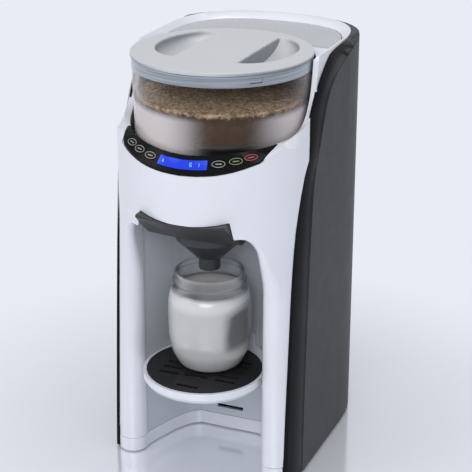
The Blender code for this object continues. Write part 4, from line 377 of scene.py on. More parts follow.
# %% The collar's tint and painted highlights
def tinted_wall():
    """Smoked blue-grey with painted highlights: streaks drawn out round the band, and paler where seen edge on."""
    finish = Finish("collar_tint", IOR=1.5, Specular_IOR_Level=0.6, Coat_Weight=0.4, Roughness=0.2)
    highlight_streaks = finish.noise(1.0, 3.0, place=finish.mapped((9.0, 9.0, 420.0)))
    facing = finish.facing()
    # painted highlights: the streaks and the facing angle lift the tone towards pale blue-grey
    tone = (highlight_streaks * 1.3 + facing * 0.35).over(0.35, 1.05)
    finish.feed("Base Color", finish.mix(tone, (0.10, 0.12, 0.145), (0.36, 0.41, 0.47)))
    finish.feed("Alpha", facing * 0.07 + 0.90)
    return finish.material


COLLAR = tinted_wall()

# %% The tank's wall
TANK_ALPHA_FACED, TANK_ALPHA_GRAZED = 0.35, 0.85


def tank_wall():
    """Clear blue-grey. Alpha goes from faced to grazed with a power of the facing angle."""
    finish = Finish("clear_tank", IOR=1.5, Specular_IOR_Level=0.6, Coat_Weight=0.3)
    haze = finish.noise(22.0)
    finish.feed("Base Color", finish.mix(haze, (0.50, 0.56, 0.60), (0.470, 0.5264, 0.564)))
    finish.feed("Roughness", haze * 0.05 + 0.08)
    finish.feed("Alpha", finish.facing() ** 1.6 * (TANK_ALPHA_GRAZED - TANK_ALPHA_FACED) + TANK_ALPHA_FACED)
    return finish.material


TANK_CLEAR = tank_wall()

# %% The bottle, milky below and clear above
BOTTLE_AXIS = (0.0, -29.5)
NECK_FOOT = (0.1635, 0.1665)
SHOULDER = (0.150, 0.160)
HOLLOW_FOOT = (0.112, 0.120)
HOLLOW_HEAD = (0.146, 0.154)
HOLLOW_WALL = (0.0325, 0.0366)


def bottle_plastic():
    """A milky body with a painted highlight on its shoulder and painted shade in its hollows, and above it a clear
    neck painted dark where it is seen edge on.
    """
    finish = Finish("bottle_plastic", Coat_Weight=0.5, Coat_Roughness=0.08, IOR=1.5)
    facing = finish.facing()
    height = finish.along("Z")
    milky = finish.mix(finish.noise(30.0), (0.44, 0.44, 0.445), (0.50, 0.50, 0.505))
    # painted highlight: the shoulder's colour is lifted towards pale grey
    white = finish.mix(height.over(*SHOULDER) * 0.8, milky, (0.66, 0.66, 0.68))
    from_axis = finish.length(finish.mapped(
        (1.0, 1.0, 0.0), (-BOTTLE_AXIS[0] * MM, -(BOTTLE_AXIS[1] + SHIFT_Y) * MM, 0.0)))
    # painted shade: in the hand hollows the colour is mixed towards dark grey
    beside_hollow = height.over(*HOLLOW_FOOT) * (1 - height.over(*HOLLOW_HEAD))
    hollow = (1 - from_axis.over(*HOLLOW_WALL)) * beside_hollow
    shaded = finish.mix(hollow * 0.9, white, (0.16, 0.165, 0.16))
    # painted dark edges on the clear neck, growing with the facing angle
    clear = finish.mix(facing.over(0.35, 0.80), (0.60, 0.62, 0.66), (0.03, 0.033, 0.04))
    body = 1 - height.over(*NECK_FOOT)
    neck_alpha = facing ** 1.6 * 0.95 + 0.06
    finish.feed("Base Color", finish.mix(body, clear, shaded))
    finish.feed("Roughness", body * 0.14 + 0.06)
    finish.feed("Alpha", body * (1 - neck_alpha) + neck_alpha)
    return finish.material


BOTTLE = bottle_plastic()
print("clear parts", CLEAR.name, COLLAR.name, TANK_CLEAR.name, BOTTLE.name)

# %% [markdown]
# ## Lit and printed marks
# The display glows blue with a fine weave of pixels. Figures, key rings and the lock mark are inks. They could be
# painted into the parts' materials, but marks of their own mesh stay crisp. Their tone varies a little, and all
# but the lock mark give off a little light.


# %% Display
def display_glass():
    """Lit blue, a little paler at the middle, with a faint fine weave of the panel's pixels."""
    finish = Finish("display_glass", Base_Color=(0.004, 0.01, 0.08), Roughness=0.08, Emission_Strength=0.9)
    glow = finish.noise(55.0, 1.0)
    pixels = finish.cells(1800.0, distance="CHEBYCHEV")
    tone = finish.mix(glow.over(0.35, 0.65), (0.004, 0.035, 0.80), (0.03, 0.12, 1.0))
    finish.feed("Emission Color", finish.mix(pixels * 0.25, tone, (0.002, 0.012, 0.5)))
    return finish.material


DISPLAY = display_glass()


# %% Inks
def ink(name, colour, strength):
    """A printed or lit mark: its tone varies a little along it."""
    finish = Finish(name, Roughness=0.4, Emission_Strength=strength)
    shade = finish.mix(finish.noise(400.0), tuple(c * 0.8 for c in colour), colour)
    finish.feed("Base Color", shade)
    finish.feed("Emission Color", shade)
    return finish.material


DIGIT = ink("display_figures", (0.10, 0.55, 1.0), 0.8)
RING_GREY = ink("ring_grey", (0.30, 0.28, 0.27), 0.25)
RING_GREEN = ink("ring_green", (0.16, 0.26, 0.11), 0.3)
RING_RED = ink("ring_red", (0.42, 0.06, 0.07), 0.3)
MARK = ink("lock_mark", (0.03, 0.045, 0.07), 0.0)
print("materials", len(bpy.data.materials))

# %% [markdown]
# ## From arrays to meshes
# A Screw or Boolean modifier could make most new pieces. Here each is a grid of points instead, computed as one
# numpy array, because a formula says exactly where the surface lies and gives clean faces. `surface` turns a grid
# into a closed mesh, `turned` sweeps a profile round an axis, and `softened` rounds a profile's corners, because
# no moulded edge is knife-sharp.


# %% Dressing a piece
def dress(piece, material, body, smooth_angle=40.0):
    """Gives a piece its material, smooth shading with sharp edges kept, and the body it rides on."""
    piece.data.materials.clear()
    for one in material if isinstance(material, tuple) else (material,):
        piece.data.materials.append(one)
    piece.data.shade_smooth()
    piece.data.set_sharp_from_angle(angle=math.radians(smooth_angle))
    bpy.context.scene.collection.objects.link(piece)
    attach(piece, body)
    return piece


# %% Grids of points
@contextmanager
def editing(mesh, merge_distance=1e-6):
    """Opens a mesh for edits, its doubled points merged, and writes it back when they are done."""
    work = bmesh.new()
    work.from_mesh(mesh)
    bmesh.ops.remove_doubles(work, verts=work.verts, dist=merge_distance)
    yield work
    work.to_mesh(mesh)
    work.free()


def full_turn(steps):
    """Even angles once round, without the first again at the end."""
    return np.linspace(0, 2 * np.pi, steps, endpoint=False)


def in_world(points):
    """Metres in the world from millimetres in the machine's own frame."""
    return (points.reshape(-1, 3) + (0, SHIFT_Y, 0)) * MM


def numbered(rows, columns):
    """The grid of point numbers, counted row by row."""
    return np.arange(rows * columns).reshape(rows, columns)


def quads(index):
    """One face for each cell of a grid of point numbers."""
    return np.stack([index[:-1, :-1], index[1:, :-1], index[1:, 1:], index[:-1, 1:]], axis=-1).reshape(-1, 4)


def surface(name, points, wrap_rows=False, wrap_columns=False, caps=False):
    """A mesh from a grid of points in millimetres: quads between neighbours, and end caps on request."""
    index = numbered(*points.shape[:2])
    if wrap_rows:
        index = np.vstack([index, index[:1]])
    ends = [index[0, ::-1].tolist(), index[-1].tolist()] if caps else []
    if wrap_columns:
        index = np.hstack([index, index[:, :1]])
    mesh = bpy.data.meshes.new(name)
    mesh.from_pydata(in_world(points), [], quads(index).tolist() + ends)
    with editing(mesh) as work:
        if work.calc_volume(signed=True) < 0:
            bmesh.ops.reverse_faces(work, faces=work.faces)
    return bpy.data.objects.new(name, mesh)


# %% Rounded profiles and turnings
def softened(profile, radius, steps=4, closed=True):
    """Each corner P becomes the curve (1-t)^2 A + 2t(1-t) P + t^2 B between points A and B beside it."""
    corner = np.asarray(profile, float)
    before = np.roll(corner, 1, axis=0)
    after = np.roll(corner, -1, axis=0)
    to_before = np.linalg.norm(before - corner, axis=1, keepdims=True)
    to_after = np.linalg.norm(after - corner, axis=1, keepdims=True)
    first = corner + (before - corner) * np.minimum(radius / to_before, 0.45)
    last = corner + (after - corner) * np.minimum(radius / to_after, 0.45)
    t = np.linspace(0, 1, steps)[None, :, None]
    curve = (1 - t) ** 2 * first[:, None] + 2 * t * (1 - t) * corner[:, None] + t ** 2 * last[:, None]
    if not closed:
        curve[0] = corner[0]
        curve[-1] = corner[-1]
    return curve.reshape(-1, 2)


def turned(name, profile, centre=(0.0, 0.0), facets=144):
    """Point (r cos a, r sin a, z) for every profile point (r, z) and every angle a."""
    angle = full_turn(facets)[:, None]
    radius, height = np.asarray(profile, float).T
    points = np.stack([
        centre[0] + radius * np.cos(angle), centre[1] + radius * np.sin(angle),
        np.broadcast_to(height, (facets, len(height)))], axis=-1)
    return surface(name, points, wrap_rows=True, wrap_columns=True)


# %% [markdown]
# ## Mouldings kept from the solids
# Housing, panels, liner and the inner pieces already have the right shape. They could be modelled again, but a
# copy keeps each opening where the solid has it. The copy's points are merged, its flat faces are joined, its
# edges get a small radius where the real moulding has one, and it takes its finish. The weighted-normal modifier
# keeps large faces flat in the shading beside rounded ones.


# %% A finished copy of a solid
SOLID_MERGE = 2e-6
FLAT_ANGLE = math.radians(0.4)
BEVEL_ANGLE = math.radians(38)


def finished(node, material, bevel=0.0, smooth_angle=38.0, pick=None):
    """A merged and smoothed copy of a solid that stands for it."""
    mesh = frame["nodes"][node].data.copy()
    with editing(mesh, SOLID_MERGE) as work:
        bmesh.ops.dissolve_limit(work, angle_limit=FLAT_ANGLE, verts=work.verts, edges=work.edges)
    piece = bpy.data.objects.new("finished_" + node, mesh)
    dress(piece, material, BODY_OF[node], smooth_angle)
    if pick is not None:
        centre = np.empty(len(mesh.polygons) * 3)
        normal = np.empty(len(mesh.polygons) * 3)
        mesh.polygons.foreach_get("center", centre)
        mesh.polygons.foreach_get("normal", normal)
        mesh.polygons.foreach_set("material_index", pick(centre.reshape(-1, 3), normal.reshape(-1, 3)).astype(int))
    if bevel:
        edge = piece.modifiers.new("edge radius", "BEVEL")
        edge.width = bevel * MM
        edge.segments = 2
        edge.limit_method = "ANGLE"
        edge.angle_limit = BEVEL_ANGLE
    even = piece.modifiers.new("even normals", "WEIGHTED_NORMAL")
    even.keep_sharp = True
    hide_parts(node)


# %% Housing, liner and side panels
BAND_SIDEWAYS = 0.97
BAND_BACK_Y = 0.034
PANEL_TOP_Z = 0.352


def band_or_face(centre, normal):
    """1 on the slanted front band and the top edge, 0 on the side face and behind."""
    ahead = (np.abs(normal[:, 0]) < BAND_SIDEWAYS) & ((centre[:, 1] < BAND_BACK_Y) | (centre[:, 2] > PANEL_TOP_Z))
    return (ahead | (normal[:, 2] > 0.3)) & (normal[:, 2] > -0.5)


finished("front_housing", WHITE, bevel=0.5, smooth_angle=52.0)
finished("bay_liner", LINER)
for side in ("left", "right"):
    finished("side_panel_" + side, (CHARCOAL, BAND_BLACK), pick=band_or_face)
print("housing, liner and panels finished")

# %% The other solids, each with its finish
PLAIN_COPIES = (
    (CHARCOAL, ("rear_cover",)),
    (WHITE, ("base_plate",)),
    (FUNNEL_GREY, ("funnel_holder",)),
    (BAND_BLACK, ("control_panel",)),
    (DECK_GREY, ("tank_lid",)),
    (BAND_BLACK, ("power_inlet", "power_switch")),
    (WHITE, ("drip_tray",)),
    (INNER_GREY, ("inner_frame", "container_seat", "powder_chute", "gear_case", "tank_dock")),
    (LID_GREY, ("metering_wheel",)),
    (FUNNEL_GREY, ("wheel_cover",)),
    (NYLON, ("stirrer", "drive_gear", "motor_pinion", "dock_pin")),
    (STEEL, ("drive_motor", "water_heater", "water_nozzle",
             "base_screw_1", "base_screw_2", "base_screw_3", "base_screw_4")),
    (PUMP_BLACK, ("water_pump",)),
    (BOARD, ("display_board", "main_board")),
    (SILICONE, ("lid_gasket", "supply_tube", "heater_tube", "outlet_tube")),
    (PUMP_BLACK, ("tank_valve",)),
    (FOOT_RUBBER, ("rubber_foot_1", "rubber_foot_2", "rubber_foot_3", "rubber_foot_4")),
    (TANK_CLEAR, ("water_tank",)),
    (CLEAR, ("powder_container",)))

for material, nodes in PLAIN_COPIES:
    for node in nodes:
        finished(node, material)
print("plain copies", sum(len(nodes) for _, nodes in PLAIN_COPIES))

# %% [markdown]
# ## Powder
# Spooned powder never lies flat: its surface rolls, and clumps stand out of it. A Displace modifier could do that
# too, but a sum of few terms is easier to tune: over the plane, a shallow heap, two pairs of crossing waves, and
# seeded grain noise. Under its top the mass is hollow above the dosing wheel's cover.


# %% The powder's surface
POWDER_RIM = 72.4
POWDER_LEVEL = 336.6
HEAP = 2.4


def powder_height(x, y):
    """Level, plus a heap falling with r squared, plus crossing sine waves 10 to 46 mm long, plus fine grain."""
    heap = HEAP * (1 - (np.hypot(x, y) / POWDER_RIM) ** 2)
    rolls = 0.5 * np.sin(x / 6.1 + 0.7) * np.sin(y / 7.3) + 0.35 * np.sin((x + y) / 3.1) * np.sin((x - y) / 2.3)
    grain = np.random.default_rng(7).normal(0, 0.22, x.shape)
    return POWDER_LEVEL + heap + rolls + np.clip(grain, -0.5, 0.5)


# %% The heap as one closed grid
POWDER_FACETS = 220
POWDER_RINGS = 60
BELOW_POWDER = np.array([
    (72.3, 328.0), (72.2, 318.0), (72.1, 308.0), (71.9, 306.5), (49.0, 300.6), (45.2, 300.6), (45.2, 318.4),
    (0.0, 322.2)])

angle = full_turn(POWDER_FACETS)[:, None]
radii = np.concatenate([np.linspace(0, POWDER_RIM - 0.8, POWDER_RINGS), [POWDER_RIM]])
top_x = radii * np.cos(angle)
top_y = radii * np.sin(angle)
top_z = powder_height(top_x, top_y)
top_z[:, 0] = POWDER_LEVEL + HEAP
top_z[:, -1] -= 1.0
low_x = BELOW_POWDER[:, 0] * np.cos(angle)
low_y = BELOW_POWDER[:, 0] * np.sin(angle)
low_z = np.broadcast_to(BELOW_POWDER[:, 1], low_x.shape)
grid = np.stack([np.hstack([top_x, low_x]), np.hstack([top_y, low_y]), np.hstack([top_z, low_z])], axis=-1)
powder = dress(surface("powder_heap", grid, wrap_rows=True), POWDER, "container", 60)
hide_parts("powder_fill")
print("powder faces", len(powder.data.polygons))

# %% [markdown]
# ## Lid
# The lid is a flat disc with two hollows for the fingers, and the bar between them is the grip. Cutting the
# hollows with booleans would leave thin faces at their edges. Instead the top is a height over a square grid that
# is bent into a disc: each hollow is half of a flattened ball, cut straight on the grip's side. The steep cut
# side is what catches the shade in the photograph, and the lid's finish paints shade on it as well.


# %% The lid's top as a height function
LID_TOP = 372.6
GRIP_HALF_WIDTH = 28.5
SCOOP_WIDTH = 33.0
SCOOP_HALF_LENGTH = 47.5
SCOOP_MIDDLE_Y = 11.0
SCOOP_DEPTH = 13.0
SCOOP_WALL = 1.6


def lid_height(x, y):
    """Top minus depth * sqrt(1 - u^2 - v^2) * (3w^2 - 2w^3) in each hollow, w going from 0 to 1 at the grip."""
    across = (np.abs(x) - GRIP_HALF_WIDTH) / SCOOP_WIDTH
    along = (y - SCOOP_MIDDLE_Y) / SCOOP_HALF_LENGTH
    ball = np.clip(1 - across ** 2 - along ** 2, 0, None)
    wall = np.clip((np.abs(x) - GRIP_HALF_WIDTH) / SCOOP_WALL, 0, 1)
    wall = wall * wall * (3 - 2 * wall)
    return LID_TOP - SCOOP_DEPTH * np.sqrt(ball) * wall


# %% The disc and its skirt
LID_LOW = 369.6
LID_RADIUS = 78.3
LID_EDGE = LID_RADIUS - 1.2
LID_SHELL = 2.6
LID_STEPS = 241
EDGE_ROUNDING = 0.9


def scooped_disc(name):
    """Top and underside LID_SHELL apart, joined by rows of points round the edge."""
    columns = np.linspace(-1, 1, LID_STEPS)
    square_x, square_y = np.meshgrid(columns, columns, indexing="ij")
    disc_x = square_x * np.sqrt(1 - square_y ** 2 / 2) * LID_EDGE
    disc_y = square_y * np.sqrt(1 - square_x ** 2 / 2) * LID_EDGE
    top = np.stack([disc_x, disc_y, lid_height(disc_x, disc_y)], axis=-1).reshape(-1, 3)
    index = numbered(LID_STEPS, LID_STEPS)
    rim = np.concatenate([index[:-1, 0], index[-1, :-1], index[:0:-1, -1], index[0, :0:-1]])
    outwards = top[rim, :2] / np.linalg.norm(top[rim, :2], axis=1, keepdims=True)
    edge = softened([
        (LID_EDGE, LID_TOP), (LID_RADIUS, LID_TOP), (LID_RADIUS, LID_LOW), (LID_EDGE, LID_LOW)],
        EDGE_ROUNDING, 5, closed=False)[1:-1]
    edge_rows = [np.column_stack([outwards * r, np.full(len(rim), z)]) for r, z in edge]
    chain = [rim] + [2 * len(top) + k * len(rim) + np.arange(len(rim)) for k in range(len(edge_rows))]
    chain.append(rim + len(top))
    faces = [quads(index), quads(index)[:, ::-1] + len(top)]
    faces += [np.stack([a, np.roll(a, -1), np.roll(b, -1), b], axis=-1) for a, b in zip(chain, chain[1:])]
    mesh = bpy.data.meshes.new(name)
    mesh.from_pydata(in_world(np.concatenate([top, top - (0, 0, LID_SHELL)] + edge_rows)), [],
                     np.concatenate(faces).tolist())
    with editing(mesh) as work:
        bmesh.ops.recalc_face_normals(work, faces=work.faces)
    return bpy.data.objects.new(name, mesh)


lid = dress(scooped_disc("round_lid"), SCOOPED, "lid", 50)
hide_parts("lid")
skirt = turned("lid_skirt", softened([(75.1, 369.9), (75.1, 362.0), (73.1, 362.0), (73.1, 369.9)], 0.4))
dress(skirt, LID_GREY, "lid")
print("lid faces", len(lid.data.polygons))

# %% [markdown]
# ## Collar, funnel and bottle
# These are turned shapes: a profile carried round an axis. The collar is the tinted band under the lid, the
# funnel hangs in its drawer, and the bottle is a small wide-necked one with a hollow on each side for the hand.
# A Screw modifier turns profiles too, but with arrays the bottle's radius can change with the angle, which is
# all that its hollows need.

# %% Collar and its lock mark
MARK_RADIUS = 77.56
MARK_HALF_DEPTH, MARK_HALF_HEIGHT = 0.12, 0.42

collar = turned("tinted_collar", softened([(77.3, 369.2), (77.6, 359.8), (75.4, 359.8), (75.4, 369.2)], 0.5))
dress(collar, COLLAR, "container")
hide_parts("container_collar")
mark_angle = np.radians(np.concatenate([np.linspace(39.5, 47.5, 24), np.full(10, 47.9)]))[:, None]
mark_z = np.concatenate([np.full(24, 363.0), np.linspace(363.2, 367.2, 10)])[:, None]
tube = full_turn(8)
mark_radius = MARK_RADIUS + MARK_HALF_DEPTH * np.cos(tube)
mark = np.stack([
    mark_radius * np.sin(mark_angle), -mark_radius * np.cos(mark_angle), mark_z + MARK_HALF_HEIGHT * np.sin(tube)],
    axis=-1)
dress(surface("lock_mark", mark, wrap_columns=True, caps=True), MARK, "container")
print("collar faces", len(collar.data.polygons))

# %% Funnel
funnel_profile = softened([
    (33.0, 228.3), (33.0, 226.3), (30.2, 226.3), (30.2, 213.8), (12.5, 196.0), (9.6, 196.0), (9.6, 184.2),
    (7.6, 184.2), (7.6, 198.0), (11.3, 198.0), (28.2, 215.0), (28.2, 228.3)], 0.8, 5)
funnel = dress(turned("mixing_funnel", funnel_profile, BOTTLE_AXIS), FUNNEL_GREY, "funnel_drawer",
               60)
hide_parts("funnel")
print("funnel faces", len(funnel.data.polygons))

# %% Bottle with hollows for the hand
BOTTLE_FACETS = 180
LIP_POINTS = 9
HOLLOW_TURN = -0.20
HOLLOW_HALF_ANGLE = 0.72
HOLLOW_MIDDLE = 134.0
HOLLOW_HALF_HEIGHT = 26.0
HOLLOW_DEPTH = 8.0

outside = softened([
    (0, 93.3), (25.0, 93.3), (28.75, 96.0), (34.5, 107.5), (37.0, 123.6), (37.5, 152.0), (35.5, 162.7),
    (31.5, 166.8), (31.0, 168.1), (31.0, 171.6), (32.7, 172.9), (32.7, 175.6), (31.0, 177.0), (31.0, 182.3),
    (29.2, 182.3)], 5.0, LIP_POINTS, closed=False)
outside[-LIP_POINTS:] = softened([(31.0, 180.0), (31.0, 182.3), (29.2, 182.3)], 0.9, 3, closed=False)
inside = softened([
    (29.2, 182.3), (29.2, 168.0), (33.7, 162.7), (35.7, 152.0), (35.2, 123.6), (32.7, 107.5), (25.0, 95.7),
    (0, 95.7)], 4.0, 7, closed=False)
angle = full_turn(BOTTLE_FACETS)[:, None]
radius, height = np.vstack([outside, inside]).T
from_hollow = (angle - HOLLOW_TURN + np.pi / 2) % np.pi - np.pi / 2
reach = np.clip(1 - (from_hollow / HOLLOW_HALF_ANGLE) ** 2, 0, 1)
level = np.clip(1 - ((height - HOLLOW_MIDDLE) / HOLLOW_HALF_HEIGHT) ** 2, 0, 1)
radius = radius - HOLLOW_DEPTH * reach ** 1.5 * level ** 1.2
grid = np.stack([
    BOTTLE_AXIS[0] + radius * np.cos(angle), BOTTLE_AXIS[1] + radius * np.sin(angle),
    np.broadcast_to(height, radius.shape)], axis=-1)
bottle = dress(surface("feeding_bottle", grid, wrap_rows=True), BOTTLE, "bottle", 60)
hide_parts("bottle")
print("bottle faces", len(bottle.data.polygons))

# %% [markdown]
# ## Drip grid
# The black grid is a thin disc with slots and a shallow oval window. A new mesh would have to cut them again. Its
# solid has them already, so a finished copy keeps them, and a raised rounded rim is added round it.

# %% Grid and its rim
RIM_RADIUS = 50.9
RIM_MIDDLE_Y = -42.3
RIM_LEVEL = 92.95
RIM_HALF_WIDTH, RIM_HALF_HEIGHT = 0.6, 0.3

finished("drip_grid", GRID_BLACK)
rim_turn = full_turn(160)[:, None]
tube = full_turn(10)
rim_radius = RIM_RADIUS + RIM_HALF_WIDTH * np.cos(tube)
grid_rim = np.stack([
    rim_radius * np.cos(rim_turn), RIM_MIDDLE_Y + rim_radius * np.sin(rim_turn),
    np.broadcast_to(RIM_LEVEL + RIM_HALF_HEIGHT * np.sin(tube), (len(rim_turn), len(tube)))], axis=-1)
dress(surface("grid_rim", grid_rim, wrap_rows=True, wrap_columns=True), GRID_BLACK, "tray")
print("grid rim radius", RIM_RADIUS)

# %% [markdown]
# ## Control strip
# The strip bends round the nose and slopes, so each button and figure stands on a slanted, turned patch of it.
# Turning every piece by hand would take three angles each. `strip_patch` gives the patch as a function of three
# lengths instead: along the strip, across it and out of it.

# %% The strip's slope as a table
STRIP_INNER_RADIUS = 79.5
STRIP_OUTER_RADIUS = 91.0
STRIP_BASE = 303.3
STRIP_RISE = 69.3
EDGE_ANGLES = np.array([0, 10, 20, 30, 43, 50, 56])
INNER_HEIGHT = STRIP_BASE + STRIP_RISE * np.array([0.0, 0.008, 0.025, 0.043, 0.066, 0.078, 0.091])
OUTER_HEIGHT = STRIP_BASE + STRIP_RISE * np.array([-0.190, -0.182, -0.160, -0.115, -0.030, 0.030, 0.080])


def strip_point(angle, radius):
    """Height straight between the strip's inner and outer edges, each interpolated in its table."""
    size = np.abs(angle)
    inner = np.interp(size, EDGE_ANGLES, INNER_HEIGHT)
    outer = np.interp(size, EDGE_ANGLES, OUTER_HEIGHT)
    turn = np.radians(angle)
    share = (radius - STRIP_INNER_RADIUS) / (STRIP_OUTER_RADIUS - STRIP_INNER_RADIUS)
    return np.stack([radius * np.sin(turn), -radius * np.cos(turn), inner + (outer - inner) * share], axis=-1)


def strip_patch(angle, radius):
    """The function that gives centre + u * along + v * across + w * out at one place of the strip."""
    centre = strip_point(angle, radius)
    across = strip_point(angle, STRIP_OUTER_RADIUS) - centre
    across /= np.linalg.norm(across)
    out = np.cross(strip_point(angle + 1, radius) - centre, across)
    out *= np.sign(out[2]) / np.linalg.norm(out)
    along = np.cross(across, out)
    along *= np.sign(along[0]) / np.linalg.norm(along)

    def patch(u, v, w):
        u, v, w = np.broadcast_arrays(u, v, w)
        return centre + u[..., None] * along + v[..., None] * across + w[..., None] * out

    return patch


# %% [markdown]
# ## Buttons
# Each button is a gloss black oval key, a little domed, with a ring printed near its edge and a short dash in its
# middle. Both could be a pattern in the key's material, but as thin raised inks they keep their
# width all round and ride down with the key when it is pressed.

# %% Buttons: a domed oval key, a printed ring and a short dash
BUTTON_ANGLES = {
    "left_1": -39.0, "left_2": -30.5, "left_3": -21.0, "right_1": 21.0, "right_2": 30.5, "right_3": 39.0}
RING_OF = {"right_2": RING_GREEN, "right_3": RING_RED}
BUTTON_RADIUS = 85.4
KEY_HALF_LENGTH, KEY_HALF_WIDTH = 6.2, 3.6
KEY_SHARES = np.array([0.0, 0.35, 0.7, 0.88, 0.96, 1.0, 1.0, 0.6, 0.0])
KEY_LIFTS = np.array([0.34, 0.32, 0.28, 0.33, 0.25, 0.05, -1.3, -1.3, -1.3])
RING_HALF_LENGTH, RING_HALF_WIDTH, RING_LIFT = 5.35, 2.85, 0.36
RING_INK_HALF_WIDTH, RING_INK_HALF_HEIGHT = 0.28, 0.10
DASH_HALF_LENGTH, DASH_LIFT = 2.6, 0.33
DASH_INK_HALF_WIDTH, DASH_INK_HALF_HEIGHT = 0.45, 0.08

for name, angle in BUTTON_ANGLES.items():
    patch = strip_patch(angle, BUTTON_RADIUS)
    turn = full_turn(64)[:, None]
    tube = full_turn(8)
    body = "button_" + name
    printed = RING_OF.get(name, RING_GREY)
    key = patch(
        KEY_HALF_LENGTH * KEY_SHARES * np.cos(turn), KEY_HALF_WIDTH * KEY_SHARES * np.sin(turn), KEY_LIFTS)
    key = surface("key_" + name, key, wrap_rows=True)
    dress(key, BAND_BLACK, body, 50)
    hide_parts(body)
    outwards = RING_INK_HALF_WIDTH * np.cos(tube)
    ring = patch(
        (RING_HALF_LENGTH + outwards) * np.cos(turn), (RING_HALF_WIDTH + outwards) * np.sin(turn),
        RING_LIFT + RING_INK_HALF_HEIGHT * np.sin(tube))
    dress(surface("key_ring_" + name, ring, wrap_rows=True, wrap_columns=True), printed, body)
    length = np.linspace(-1, 1, 12)[:, None]
    dash = patch(
        DASH_HALF_LENGTH * length, DASH_INK_HALF_WIDTH * np.cos(tube),
        DASH_LIFT + DASH_INK_HALF_HEIGHT * np.sin(tube))
    dress(surface("key_dash_" + name, dash, wrap_columns=True, caps=True), printed, body)
print("buttons", len(BUTTON_ANGLES))

# %% [markdown]
# ## Display
# The window in the strip's middle is lit blue and shows one figure and a few marks. Blender's text objects could
# write the figure, but flat bars laid on the bent window look like the real display's segments.

# %% Display window and its figures
DISPLAY_RADIUS = 85.3
FIGURE_ANGLE = 5.5
FIGURE_SHIFT = -0.8
FIGURE_WIDTH = 0.42
BAR_HALF_HEIGHT, BAR_LIFT = 0.05, 0.10
SEGMENTS = {
    "a": ((0, 1.6), (1.6, 1.6)), "f": ((0, 0.1), (0, 1.5)), "g": ((0.1, 0), (1.5, 0)),
    "e": ((0, -1.5), (0, -0.1)), "c": ((1.6, -1.5), (1.6, -0.1)), "d": ((0.1, -1.6), (1.5, -1.6))}

finished("display_window", DISPLAY)


def bar_on_display(name, angle, shift, start, end, wide):
    """A flat bar from start to end, (u, v) in millimetres about a point of the display, 0.15 mm proud of it."""
    start, end = np.array(start, float), np.array(end, float)
    path = start + (end - start) * np.linspace(0, 1, 6)[:, None]
    side = np.array([-(end - start)[1], (end - start)[0]]) / np.linalg.norm(end - start)
    corner = np.array([(-1, -1), (1, -1), (1, 1), (-1, 1)]) * (wide / 2, BAR_HALF_HEIGHT)
    u = path[:, :1] + side[0] * corner[:, 0] + shift
    v = path[:, 1:] + side[1] * corner[:, 0]
    grid = strip_patch(angle, DISPLAY_RADIUS)(u, -v, corner[:, 1] + BAR_LIFT)
    dress(surface(name, grid, wrap_columns=True, caps=True), DIGIT, "base")


for segment, (start, end) in SEGMENTS.items():
    bar_on_display("figure_" + segment, FIGURE_ANGLE, FIGURE_SHIFT, start, end, FIGURE_WIDTH)
bar_on_display("level_mark_1", -11.6, 0.0, (-0.8, -0.9), (0.8, -0.9), 0.9)
bar_on_display("level_mark_2", -11.6, 0.0, (-0.8, 0.6), (0.2, 0.6), 0.9)
bar_on_display("level_mark_3", 10.4, 0.0, (-0.2, -1.6), (-0.2, 1.4), 0.35)
print("segments lit", "".join(sorted(SEGMENTS)))

# %% [markdown]
# ## Floor and world
# The photograph stands on a pale, slightly glossy sheet that runs up into the background. A brighter lamp on the
# floor would also burn out the white housing, so the background is a colour of its own. Away from the machine
# the sheet shows it to the camera and to reflections, and near the machine the lit sheet with its shadow shows.
# The world lights the object softly, and shows the same colour to the camera and through clear parts.


# %% The sheet's mesh
SHEET_RADII = np.array([0.0, 1.0, 3.0, 9.0])
SHEET_SINK = 0.00002
SHEET_FACETS = 64


def floor_sheet(name):
    """A wide disc: point (r cos a, r sin a, 0)."""
    angle = full_turn(SHEET_FACETS)[:, None]
    grid = np.stack([
        SHEET_RADII * np.cos(angle), SHEET_RADII * np.sin(angle),
        np.full((SHEET_FACETS, len(SHEET_RADII)), -SHEET_SINK)], axis=-1)
    index = numbered(*grid.shape[:2])
    mesh = bpy.data.meshes.new(name)
    mesh.from_pydata(grid.reshape(-1, 3), [], quads(np.vstack([index, index[:1]])).tolist())
    with editing(mesh) as work:
        bmesh.ops.recalc_face_normals(work, faces=work.faces)
    return bpy.data.objects.new(name, mesh)


# %% The sheet's finish
PALE = (0.815, 0.839, 0.913)
SHADOW_REACH = (0.17, 0.42)

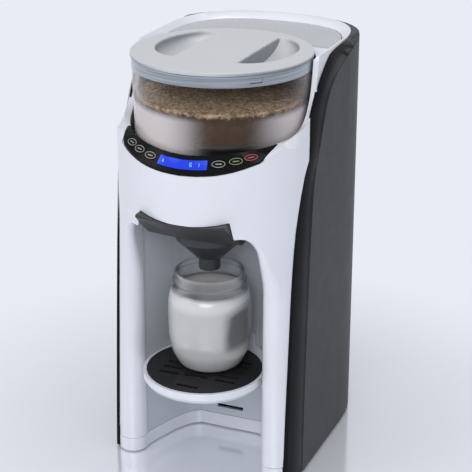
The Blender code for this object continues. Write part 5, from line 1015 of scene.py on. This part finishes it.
sheet = Finish("pale_sheet", Roughness=0.12, Metallic=0.42, IOR=1.6)
sheet.feed("Base Color", sheet.mix(sheet.noise(3.0), (0.88, 0.90, 0.96), (0.89, 0.91, 0.97)))
away = sheet.length(sheet.place()).over(*SHADOW_REACH) * 0.95 + 0.05
seen = (sheet.ray("Camera") + sheet.ray("Glossy")).over(0.0, 0.5)
shown = sheet.node("ShaderNodeEmission", {"Color": PALE, "Strength": 1.0})
sheet.show(sheet.blend(away * seen, sheet.lit, shown))
floor = floor_sheet("floor_sheet")
floor.data.materials.append(sheet.material)
bpy.context.scene.collection.objects.link(floor)
print("sheet shows its shadow within", SHADOW_REACH[1], "m")

# %% World
WORLD_LIGHT = (0.93, 0.95, 1.0)
WORLD_STRENGTH = 0.62

world = bpy.data.worlds.new("pale_studio")
bpy.context.scene.world = world
sky = Tree(world, "ShaderNodeOutputWorld")
camera_ray = sky.ray("Camera")
seen = camera_ray.join("MAXIMUM", camera_ray, sky.ray("Transmission"))
lit = sky.node("ShaderNodeBackground", {"Color": WORLD_LIGHT, "Strength": WORLD_STRENGTH})
shown = sky.node("ShaderNodeBackground", {"Color": PALE, "Strength": 1.0})
sky.show(sky.blend(seen, lit, shown))
print("world strength", WORLD_STRENGTH)

# %% [markdown]
# ## Lamps
# The white front has no hard shadow: it was lit through large soft boxes. One lamp would leave the left side
# dull, so there are three: the key in front, a weaker one on the left, and one above for the lid and the deck.

# %% Lamps
LAMP_COLOUR = (1.0, 0.99, 0.97)


def soft_lamp(name, place, target, size, power):
    """A square lamp that looks from its place at a target."""
    lamp = bpy.data.lights.new(name, "AREA")
    lamp.size = size
    lamp.energy = power
    lamp.color = LAMP_COLOUR
    holder = bpy.data.objects.new(name, lamp)
    x, y, z = np.array(target) - np.array(place)
    holder.location = place
    holder.rotation_euler = (math.atan2(math.hypot(x, y), -z), 0, math.atan2(y, x) - math.pi / 2)
    bpy.context.scene.collection.objects.link(holder)


soft_lamp("key_lamp", (0.35, -1.75, 1.1), (0, 0, 0.2), 1.1, 15.5)
soft_lamp("left_lamp", (-1.3, -0.9, 1.3), (0, 0, 0.2), 0.9, 5.0)
soft_lamp("top_lamp", (0.1, 0.3, 1.8), (0, 0, 0.3), 1.0, 9.0)
print("lamps", len(bpy.data.lights))
